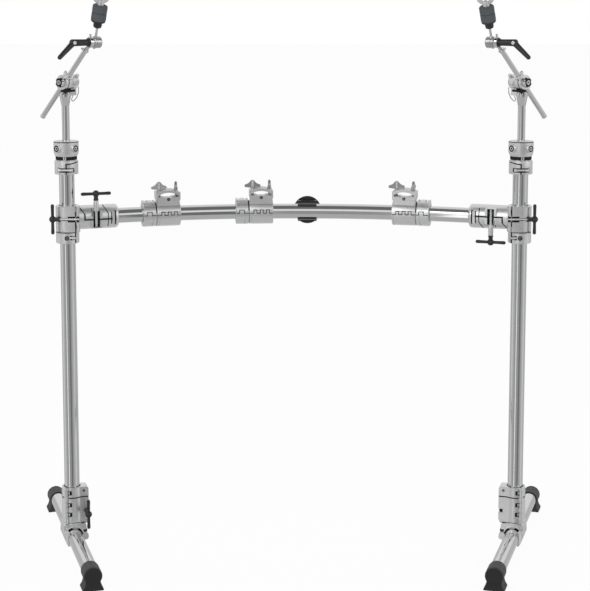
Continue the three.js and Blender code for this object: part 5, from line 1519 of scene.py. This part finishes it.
def mount_collar_form(toward_clamp):
    """Split collar beside the clamp, with a notched crown on top and a slit that faces the drummer."""
    m = MOUNT
    c = COLLAR
    half = c.width / 2
    collar = along_x(soft_ring(m.radius, m.bore, -half, half, m.corner))
    crown = along_x(rounded_rod(m.radius + c.crown, -half, half, c.crown_corner))
    crown = crown - bar_core(m.radius - c.crown_under)
    crown = crown & block(-FAR, FAR, -c.crown_half, c.crown_half, 0, FAR)
    notches = [block(x - c.notch / 2, x + c.notch / 2, -FAR, FAR, m.radius - c.notch_deep, FAR)
               for x in (-half / 2, half / 2)]
    edge = toward_clamp * (half - c.edge_in)
    upper_cut = block(edge - c.edge_half, edge + c.edge_half, -FAR, FAR, c.edge_low, FAR)
    near = toward_clamp * c.seam_near
    seam_points = list(zip((near, toward_clamp * c.seam_far, near), c.seam_heights))
    seam = groove_path(seam_points, c.seam_width, bar_core(m.radius - c.seam_deep))
    ridges = [groove_path([(-FAR, height), (FAR, height)], c.ridge_width, bar_core(m.radius - c.ridge_deep))
              for height in c.ridge_heights]
    # Painted shade: a near-black ring inside the collar's edge towards the clamp, and a block behind its
    # front
    bush = along_x(ring(m.radius - c.bush_in, m.bore + c.bush_ease, half - c.bush_start, half + c.bush_end))
    bush = bush.turned("Z", 0 if toward_clamp > 0 else math.pi)
    s = SHADOW
    shadow = block(-half + s.inset, half - s.inset, s.collar_front, s.back, s.collar_low, s.collar_high)
    dark = joined(bush, shadow - bar_core(m.bore + s.bore_ease))
    shaped = without(joined(collar, crown), *notches, upper_cut, seam, *ridges)
    k = COLLAR_LINE
    path = [(-half - k.over, 0), (k.left, 0), (k.left, k.high), (k.right, k.high), (k.right, 0),
            (half + k.over, 0)]
    return shaped - groove_path(path, k.width, bar_core(m.radius - KNUCKLE_LINE.core_in)), dark


def badge_form():
    """Bare disc on a saddle that clips over the bar."""
    b = BADGE
    c = BADGE_CLIP
    back = TUBE_RADIUS + GAP + b.depth / 2
    end = back + b.thickness
    half = b.width / 2
    disc = along_y(rounded_rod(b.radius, back, end, b.corner, TUBE_ROUND))
    recess = along_y(ring(b.radius - b.recess_in, b.recess_bore, end - b.recess_deep, back + b.recess_over,
                          TUBE_ROUND))
    pad = block(-half, half, b.pad_front, back + b.pad_over, -b.height / 2, b.height / 2)
    clip = along_x(rod(c.radius, -half, half, TUBE_ROUND))
    clip = clip & block(-half, half, c.front, c.reach, -c.reach, c.reach)
    slots = block(-half - c.over, half + c.over, c.slot_front, c.slot_back, c.slot_low, c.slot_high)
    return without(joined(disc, pad, clip), along_x(rod(b.bore, -FAR, FAR, TUBE_ROUND)), recess, slots)


# Sizes of the shapes that the node trees grow
FOOT_RIBS = {"Radius": 20.6, "Thickness": 1.7, "Start": 266.5, "Pitch": 8.0, "Count": 5, "Round": 64}
ROD_THREAD = {"Radius": 2.5, "Thickness": 0.5, "Turns": 62.0, "Height": 74.0, "Start": 38.0}
REAR_TEETH = {"Count": 36, "Radius": 16.6, "Depth": 2.6, "Width": 1.3, "Height": 1.0, "Start": 11.0}
FRONT_TEETH = {"Count": 36, "Radius": 16.0, "Depth": 3.6, "Width": 1.3, "Height": 0.8, "Start": 8.6}


# Assembly
# Direction of the screws' heads, towards the drummer
TO_FRONT = (0, -1, 0)
BASE_HANDLE = Sizes(door_start=10.0, clamp_start=15.0, neck=21.1, ball=29.5, bolt=11, tip=4.0,
                    tip_start=-0.5, tip_end=3, tip_corner=0.6)
LEG_HANDLE = Sizes(neck=48.0, ball=66.0, bolt=55.0, x=33)
BRANCH_HANDLE = Sizes(neck=66, ball=83, bolt=72, sleeve=(39, 66), z=-22)
# Each side: its hand, the boom's yaw and the rod's lean in degrees
SIDES = [("left", 1, 33, 20), ("right", -1, 30, 24)]
# Each clamp on the bar: its place as a share of the leg spacing, the collar's side, its two wings' turns
CLAMP_PLACES = [("left", -0.284, -1, (15, 85)), ("middle", -0.0741, -1, (0, 88)),
                ("right", 0.2511, 1, (5, 86))]
BAR_STEPS = 241
BAR_END_IN = 33.0


def owned(hand):
    """The right side's pieces are the left side's, mirrored."""
    return Form.mirrored if hand < 0 else (lambda form: form)


def build_base(side, hand):
    own = owned(hand)
    where = spot(-hand * HALF_SPACING, 0, 0, hand * BASE_YAW)
    body = f"{side}_base"
    on_door = hand > 0
    tube = along_y(tube_form(-BASE_LENGTH / 2, BASE_LENGTH / 2)).moved(z=BASE_AXIS)
    name = f"{side}_base_tube"
    place(f"{name}_skin", own(tube), where, body, TUBE_CHROME, "chrome_tube", [name], 0)
    ribs = grown("foot ribs", one_point(), rib_nodes, FOOT_RIBS, RIB_HIGHLIGHT_RUBBER)
    for end, turn in (("front", 0), ("rear", math.pi)):
        name = f"{side}_{end}_foot"
        foot = foot_form().turned("Z", turn)
        place(f"{name}_skin", own(foot), where, body, RUBBER, "rubber", [name], PLASTIC_EDGE)
        bands = along_minus_y(ribs).moved(z=BASE_AXIS).turned("Z", turn)
        place(f"{name}_ribs", own(bands), where, body, RIB_HIGHLIGHT_RUBBER, "rubber", [], 0)
        face = foot_face_form().turned("Z", turn)
        place(f"{name}_face", own(face), where, body, FACE_RUBBER, "rubber", [], FINE_EDGE)
    name = f"{side}_base_clamp"
    place_with_shade(name, map(own, base_clamp_form(on_door)), where, body, [name])
    name = f"{side}_base_door"
    place_with_shade(name, map(own, base_door_form(on_door)), where, name, [name])
    door_screw = screws([((BASE_KEY.x, BASE_KEY.y, BASE_KEY.height), TO_FRONT)], BASE_KEY.screw)
    place(f"{name}_screw", own(door_screw), where, name, DARK_STEEL, "chrome_casting", [], FINE_EDGE)
    build_base_handle(side, own, where, on_door)


def build_base_handle(side, own, where, on_door):
    """The T-handle that closes the base door: in front of it, or behind the clamp."""
    h = BASE_HANDLE
    name = f"{side}_base_handle"
    start = h.door_start if on_door else h.clamp_start
    neck = h.neck + start
    turn = along_minus_y if on_door else along_y
    grip = turn(grip_form(neck + h.ball, neck).turned("Z", math.pi / 2))
    bolt = turn(bolt_form(neck + h.bolt))
    parts = [(grip, BLACK_PLASTIC, "grip", "black_plastic"), (bolt, CAST_CHROME, "bolt", "chrome_casting")]
    if not on_door:
        # Behind the clamp, a near-black tip on the bolt's end paints shade into the door's slot
        tip = turn(rounded_rod(h.tip, h.tip_start, h.tip_end, h.tip_corner, SMALL_ROUND))
        parts.append((tip, BLACK_AND_SHADE_PLASTIC, "tip", "black_plastic"))
    for part, material, label, kind in parts:
        pointed = part.moved(BASE.bolt_x, start if on_door else -start, BASE.bolt_height)
        place(f"{name}_{label}", own(pointed), where, name, material, kind, [name], 0)


def build_leg(side, hand):
    own = owned(hand)
    where = spot(-hand * HALF_SPACING, 0, 0)
    name = f"{side}_leg_tube"
    tube = tube_form(LEG_BOTTOM, LEG_BOTTOM + LEG_LENGTH)
    place(f"{name}_skin", tube, where, f"{side}_leg", TUBE_CHROME, "chrome_tube", [name], 0)
    name = f"{side}_memory_lock"
    bottom = BAR_HEIGHT - CLAMP.half - GAP - LOCK.height
    lock = [own(form.moved(z=bottom)) for form in memory_lock_form()]
    place_with_shade(name, lock, where, name, [name])
    s = LOCK_SCREW
    middle = LOCK.height / 2
    shank = along_x(rounded_rod(s.shank, s.start, s.end, s.corner, SMALL_ROUND)).moved(y=s.y, z=middle)
    place(f"{name}_shank", own(shank.moved(z=bottom)), where, name, CAST_CHROME, "chrome_casting", [], 0)
    head = rounded_rod(s.head, s.head_start, s.head_end, s.head_corner, SMALL_ROUND)
    head = head - rod(s.socket, s.socket_floor, s.socket_end, s.socket_sides)
    screw = along_minus_y(head).moved(s.x, 0, middle)
    place(f"{name}_screw", own(screw.moved(z=bottom)), where, name, DARK_STEEL, "chrome_casting", [], 0)
    name = f"{side}_top_clamp"
    place_with_shade(name, map(own, top_clamp_form()), where, name, [name])
    d = DARK_RING
    dark = soft_ring(TOP.ring, TOP.ring - d.width, TOP.collar_top + d.low, TOP.ring_top + d.high, d.corner)
    place(f"{name}_ring", own(dark), where, name, BLACK_AND_SHADE_PLASTIC, "black_plastic", [], 0)
    place(f"{name}_screw", own(top_screw_form()), where, name, CAST_CHROME, "chrome_casting", [], FINE_EDGE)


def place_handle(name, grip, bolt, pose, where):
    """A T-handle's black grip and its chrome bolt, both moved by pose."""
    for part, material, label, kind in ((grip, BLACK_PLASTIC, "grip", "black_plastic"),
                                        (bolt, CAST_CHROME, "bolt", "chrome_casting")):
        place(f"{name}_{label}", pose(part), where, name, material, kind, [name], 0)


def build_bar_clamp(side, hand):
    turn = Matrix.Rotation(math.pi if hand < 0 else 0, 4, "Y")
    where = Matrix.Translation((-hand * HALF_SPACING, 0, BAR_HEIGHT)) @ turn
    name = f"{side}_bar_clamp"
    place_with_shade(name, bar_clamp_form(), where, f"{side}_clamp", [name])
    name = f"{side}_leg_door"
    place_with_shade(name, leg_door_form(), where, name, [name])
    h = LEG_HANDLE
    place_handle(f"{side}_leg_handle", grip_form(h.ball, h.neck), bolt_form(h.bolt, radius=BOLT.thin),
                 lambda part: part.turned("Y", -math.pi / 2).moved(h.x, CLAMP.bolt_y), where)
    b = BRANCH_HANDLE
    place_handle(f"{side}_branch_handle", grip_form(b.ball, b.neck), bolt_form(b.bolt, b.sleeve),
                 lambda part: to_branch(part.moved(BRANCH.bolt, -BRANCH.depth, b.z)), where)


def build_boom(side, hand, yaw, lean):
    own = owned(hand)
    where = spot(-hand * HALF_SPACING, 0, BOOM.pivot, hand * BOOM.facing)
    name = f"{side}_boom_post"
    place(f"{name}_skin", own(boom_post_form()), where, name, TUBE_CHROME, "chrome_tube", [name], FINE_EDGE)
    teeth = along_y(grown("ratchet teeth", one_point(), teeth_nodes, REAR_TEETH, CAST_CHROME))
    place(f"{name}_teeth", own(teeth), where, name, CAST_CHROME, "chrome_casting", [], 0)
    place(f"{name}_wing", own(loop_wing_form()), where, name, CAST_CHROME, "chrome_casting", [], 0)
    place(f"{name}_shade", own(ratchet_shade_form()), where, name, BLACK_AND_SHADE_PLASTIC, "black_plastic", [],
          FINE_EDGE)
    name = f"{side}_tilter_head"
    place_with_shade(name, map(own, tilter_head_form()), where, name, [name], FINE_EDGE)
    teeth = along_y(grown("ratchet teeth", one_point(), teeth_nodes, FRONT_TEETH, CAST_CHROME))
    place(f"{name}_teeth", own(teeth), where, name, CAST_CHROME, "chrome_casting", [], 0)
    hub_screw = ((0, -HEAD.hub_end + HEAD_SCREW.hub_in, 0), TO_FRONT)
    lug_screw = (tuple(on_lug(HEAD_LUG.screw)), tuple(HEAD_LUG.way))
    eyelet_screw = ((EYELET.x, -HEAD.front + EYELET.screw, EYELET.z), TO_FRONT)
    set_screws = screws([hub_screw], HEAD_SCREW.hub) + screws([lug_screw, eyelet_screw], HEAD_SCREW.small)
    place(f"{name}_screws", own(set_screws), where, name, DARK_STEEL, "chrome_casting", [], FINE_EDGE)
    name = f"{side}_boom_arm"
    toward = yaw - BOOM.facing
    place(f"{name}_skin", own(boom_arm_form(toward)), where, name, TUBE_CHROME, "chrome_tube", [name],
          FINE_EDGE)
    up = Vector((math.sin(BOOM.lean), 0, math.cos(BOOM.lean))) * ARM.upper
    eye = where @ Matrix.Translation((hand * up.x, 0, up.z)) @ Matrix.Rotation(hand * toward, 4, "Z")
    build_cymbal_end(side, own, eye, lean)


def build_cymbal_end(side, own, eye, lean):
    """What turns in the arm's eye: the rod with its felts and nut, and the lever that locks them."""
    name = f"{side}_cymbal_rod"

    def leaned(form):
        return own(form.turned("X", lean))

    place(f"{side}_cymbal_barrel", leaned(barrel_form()), eye, name, WING_CHROME, "chrome_tube", [name],
          FINE_EDGE)
    place(f"{side}_cymbal_spindle", leaned(spindle_form()), eye, name, TUBE_CHROME, "chrome_tube", [name], 0)
    thread = grown("rod thread", one_point(), thread_nodes, ROD_THREAD, TUBE_CHROME).moved(x=BARREL.along)
    place(f"{side}_cymbal_thread", leaned(thread), eye, name, TUBE_CHROME, "chrome_tube", [], 0)
    felts = f"{side}_cymbal_felts"
    for label, start, end in (("lower", FELTS.seat_end, FELTS.seam), ("upper", FELTS.seam, FELTS.top)):
        place(f"{felts}_{label}", leaned(felt_form(start, end)), eye, name, FELT, "felt", [felts], 0)
    place(f"{felts}_seat", leaned(felt_seat_form()), eye, name, BLACK_PLASTIC, "black_plastic", [felts],
          FINE_EDGE)
    name = f"{side}_tilter_lever"
    place(f"{name}_skin", own(lever_form()), eye, name, BLACK_PLASTIC, "black_plastic", [name], FINE_EDGE)
    place(f"{name}_cap", own(lever_cap_form()), eye, name, CAST_CHROME, "chrome_casting", [], 0)
    name = f"{side}_wing_nut"
    place(f"{name}_skin", leaned(wing_nut_form()), eye, name, CAST_CHROME, "chrome_casting", [name],
          PLASTIC_EDGE)


def on_bar(angle):
    """The place on the bar's axis at an angle along its bow."""
    x = BAR_BOW_RADIUS * math.sin(angle)
    y = BAR_BOW - BAR_BOW_RADIUS * (1 - math.cos(angle))
    return spot(x, y, BAR_HEIGHT, -angle)


def build_mount(name, x, collar_side, turns):
    angle = math.asin(x / BAR_BOW_RADIUS)
    where = on_bar(angle)
    step = (MOUNT.half + MOUNT.gap + COLLAR.width / 2) / BAR_BOW_RADIUS
    beside = on_bar(angle + collar_side * step)
    labels = ("collar", "block", "door", "cap")
    collar, block_name, door, cap = [f"{name}_bar_mount_{label}" for label in labels]
    place_with_shade(collar, mount_collar_form(-collar_side), beside, collar, [collar])
    place_with_shade(block_name, mount_block_form(), where, block_name, [block_name])
    s = BLOCK_SCREW
    star = screws([((0, -MOUNT.depth + s.screw_in, s.height), TO_FRONT)], s.screw)
    place(f"{block_name}_screw", star, where, block_name, DARK_STEEL, "chrome_casting", [], FINE_EDGE)
    place(f"{door}_skin", mount_door_form(), where, door, CAST_CHROME, "chrome_casting", [door])
    place(f"{cap}_skin", mount_cap_form(), where, cap, CAST_CHROME, "chrome_casting", [cap])
    for label, along, turn in (("left", -MOUNT.bolt_x, turns[0]), ("right", MOUNT.bolt_x, turns[1])):
        wing = f"{name}_bar_mount_{label}_wing"
        shape = wing_bolt_form(turn).moved(x=along)
        place(f"{wing}_skin", shape, where, wing, WING_CHROME, "chrome_tube", [wing], PLASTIC_EDGE)


for side, hand, yaw, lean in SIDES:
    build_base(side, hand)
    build_leg(side, hand)
    build_bar_clamp(side, hand)
    build_boom(side, hand, math.radians(yaw), math.radians(lean))
bar_sizes = {"Bow Radius": BAR_BOW_RADIUS, "Bow": BAR_BOW, "Splay": SPLAY,
             "Straight": BAR_STRAIGHT - BAR_END_IN, "Radius": TUBE_RADIUS,
             "Steps": BAR_STEPS, "Round": TUBE_ROUND}
bar = grown("rack bar", one_point(), bar_nodes, bar_sizes, TUBE_CHROME)
place("rack_bar_skin", bar, spot(0, 0, BAR_HEIGHT), "bar", TUBE_CHROME, "chrome_tube", ["rack_bar"], 0)
for name, share, collar_side, turns in CLAMP_PLACES:
    build_mount(name, 2 * HALF_SPACING * share, collar_side, turns)
badge_place = on_bar(math.asin(BADGE.x / BAR_BOW_RADIUS))
place("badge_skin", badge_form(), badge_place, "bar", BADGE_PLASTIC, "black_plastic", ["badge"], FINE_EDGE)


# Studio
FLOOR = Sizes(reach=30.0, roughness=0.9, shown_share=0.94)


def make_floor():
    material, maker, here = new_finish("studio floor")
    seen = maker.node("ShaderNodeLightPath", output="Is Camera Ray")
    dull_places = {"Base Color": grey(1.0), "Roughness": FLOOR.roughness}
    dull = maker.node("ShaderNodeBsdfPrincipled", None, dull_places)
    white = maker.node("ShaderNodeEmission", None, {"Color": grey(1.0), "Strength": 1.0})
    mixed = maker.node("ShaderNodeMixShader", None, {0: seen * FLOOR.shown_share, 1: dull, 2: white})
    maker.node("ShaderNodeOutputMaterial", None, {"Surface": mixed})
    reach = FLOOR.reach
    mesh = bpy.data.meshes.new("floor")
    corners = [(-reach, -reach, 0), (reach, -reach, 0), (reach, reach, 0), (-reach, reach, 0)]
    mesh.from_pydata(corners, [], [(0, 1, 2, 3)])
    mesh.materials.append(material)
    floor = bpy.data.objects.new("floor", mesh)
    bpy.context.scene.collection.objects.link(floor)
    floor.visible_glossy = False


def band(maker, wire, start, end, blur):
    """1 between start and end, 0 outside, with soft edges."""
    return maker.between(wire, start - blur, start + blur) * (1 - maker.between(wire, end - blur, end + blur))


def make_world():
    """White where the camera looks, and a grey studio with soft strips for light and reflections."""
    world = bpy.data.worlds.new("studio")
    world.use_nodes = True
    world.node_tree.nodes.clear()
    bpy.context.scene.world = world
    maker = Maker(world.node_tree)
    way = maker.node("ShaderNodeTexCoord", output="Generated")
    split = maker.node("ShaderNodeSeparateXYZ", None, {"Vector": way})
    x, y, z = [Wire(maker, split.socket.node.outputs[index]) for index in range(3)]
    bearing = x.maths("ARCTAN2", x, 0 - y)
    around = grey_bands(maker, bearing, BEARING_BASE, BEARING_BANDS)
    roll = z.maths("ARCTAN2", z, 0 - y)
    over = grey_bands(maker, roll, ROLL_BASE, ROLL_BANDS)
    level_share = band(maker, z, LEVEL_LOW, LEVEL_HIGH, LEVEL_BLUR)
    level = over + (around - over) * level_share
    seen = maker.node("ShaderNodeLightPath", output="Is Camera Ray")
    shown = level + seen * (1 - level)
    back = maker.node("ShaderNodeBackground", None, {"Color": grey(1.0), "Strength": shown})
    maker.node("ShaderNodeOutputWorld", None, {"Surface": back})


def grey_bands(maker, angle, base, bands):
    """A base level with bands of other levels, each from one angle to another, in degrees."""
    level = base
    for start, end, blur, value in bands:
        inside = band(maker, angle, math.radians(start), math.radians(end), math.radians(blur))
        level = level + inside * (value - base)
    return level


# Levels round the object by bearing from the drummer's side, and over it by roll from the same side up
BEARING_BASE = 0.62
BEARING_BANDS = [(-62, -36, 3, 0.48), (-33, -27, 1.5, 1.7), (-18, 4, 5, 0.42), (7, 30, 3, 0.22),
                 (33, 46, 3, 0.42), (70, 96, 3, 0.85), (-110, -84, 4, 0.9)]
ROLL_BASE = 0.62
ROLL_BANDS = [(-34, 9, 3, 0.42), (14, 38, 3, 1.1), (44, 98, 4, 0.2), (106, 180, 4, 0.95),
              (-180, -131, 4, 1.0)]
LEVEL_LOW = -0.55
LEVEL_HIGH = 0.17
LEVEL_BLUR = 0.05


def make_lamp(name, place_at, target, size, power):
    data = bpy.data.lights.new(name, "AREA")
    data.shape = "RECTANGLE"
    data.size, data.size_y = size
    data.energy = power
    lamp = bpy.data.objects.new(name, data)
    lamp.location = place_at
    lamp.rotation_euler = (Vector(target) - Vector(place_at)).to_track_quat("-Z", "Y").to_euler()
    bpy.context.scene.collection.objects.link(lamp)


def make_camera():
    focal_pixels = 1551.0
    frame_width, frame_height = 590.0, 591.0
    principal_x, principal_y = 293.6, 163.7
    data = bpy.data.cameras.new("camera")
    data.sensor_width = 36.0
    data.lens = focal_pixels / frame_height * data.sensor_width
    data.shift_x = (frame_width / 2 - principal_x) / frame_height
    data.shift_y = -(frame_height / 2 - principal_y) / frame_height
    camera = bpy.data.objects.new("camera", data)
    camera.location = (0, -3.82, 1.444)
    camera.rotation_euler = (math.radians(90 - 6.87), 0, 0)
    bpy.context.scene.collection.objects.link(camera)
    bpy.context.scene.camera = camera


make_floor()
make_world()
make_lamp("key", (-2.6, -3.2, 3.6), (0, 0, 0.8), (2.4, 2.4), 60)
make_lamp("fill", (3.2, -2.0, 2.6), (0, 0, 0.8), (2.0, 2.0), 25)
make_camera()
bpy.context.scene.view_settings.view_transform = "Standard"
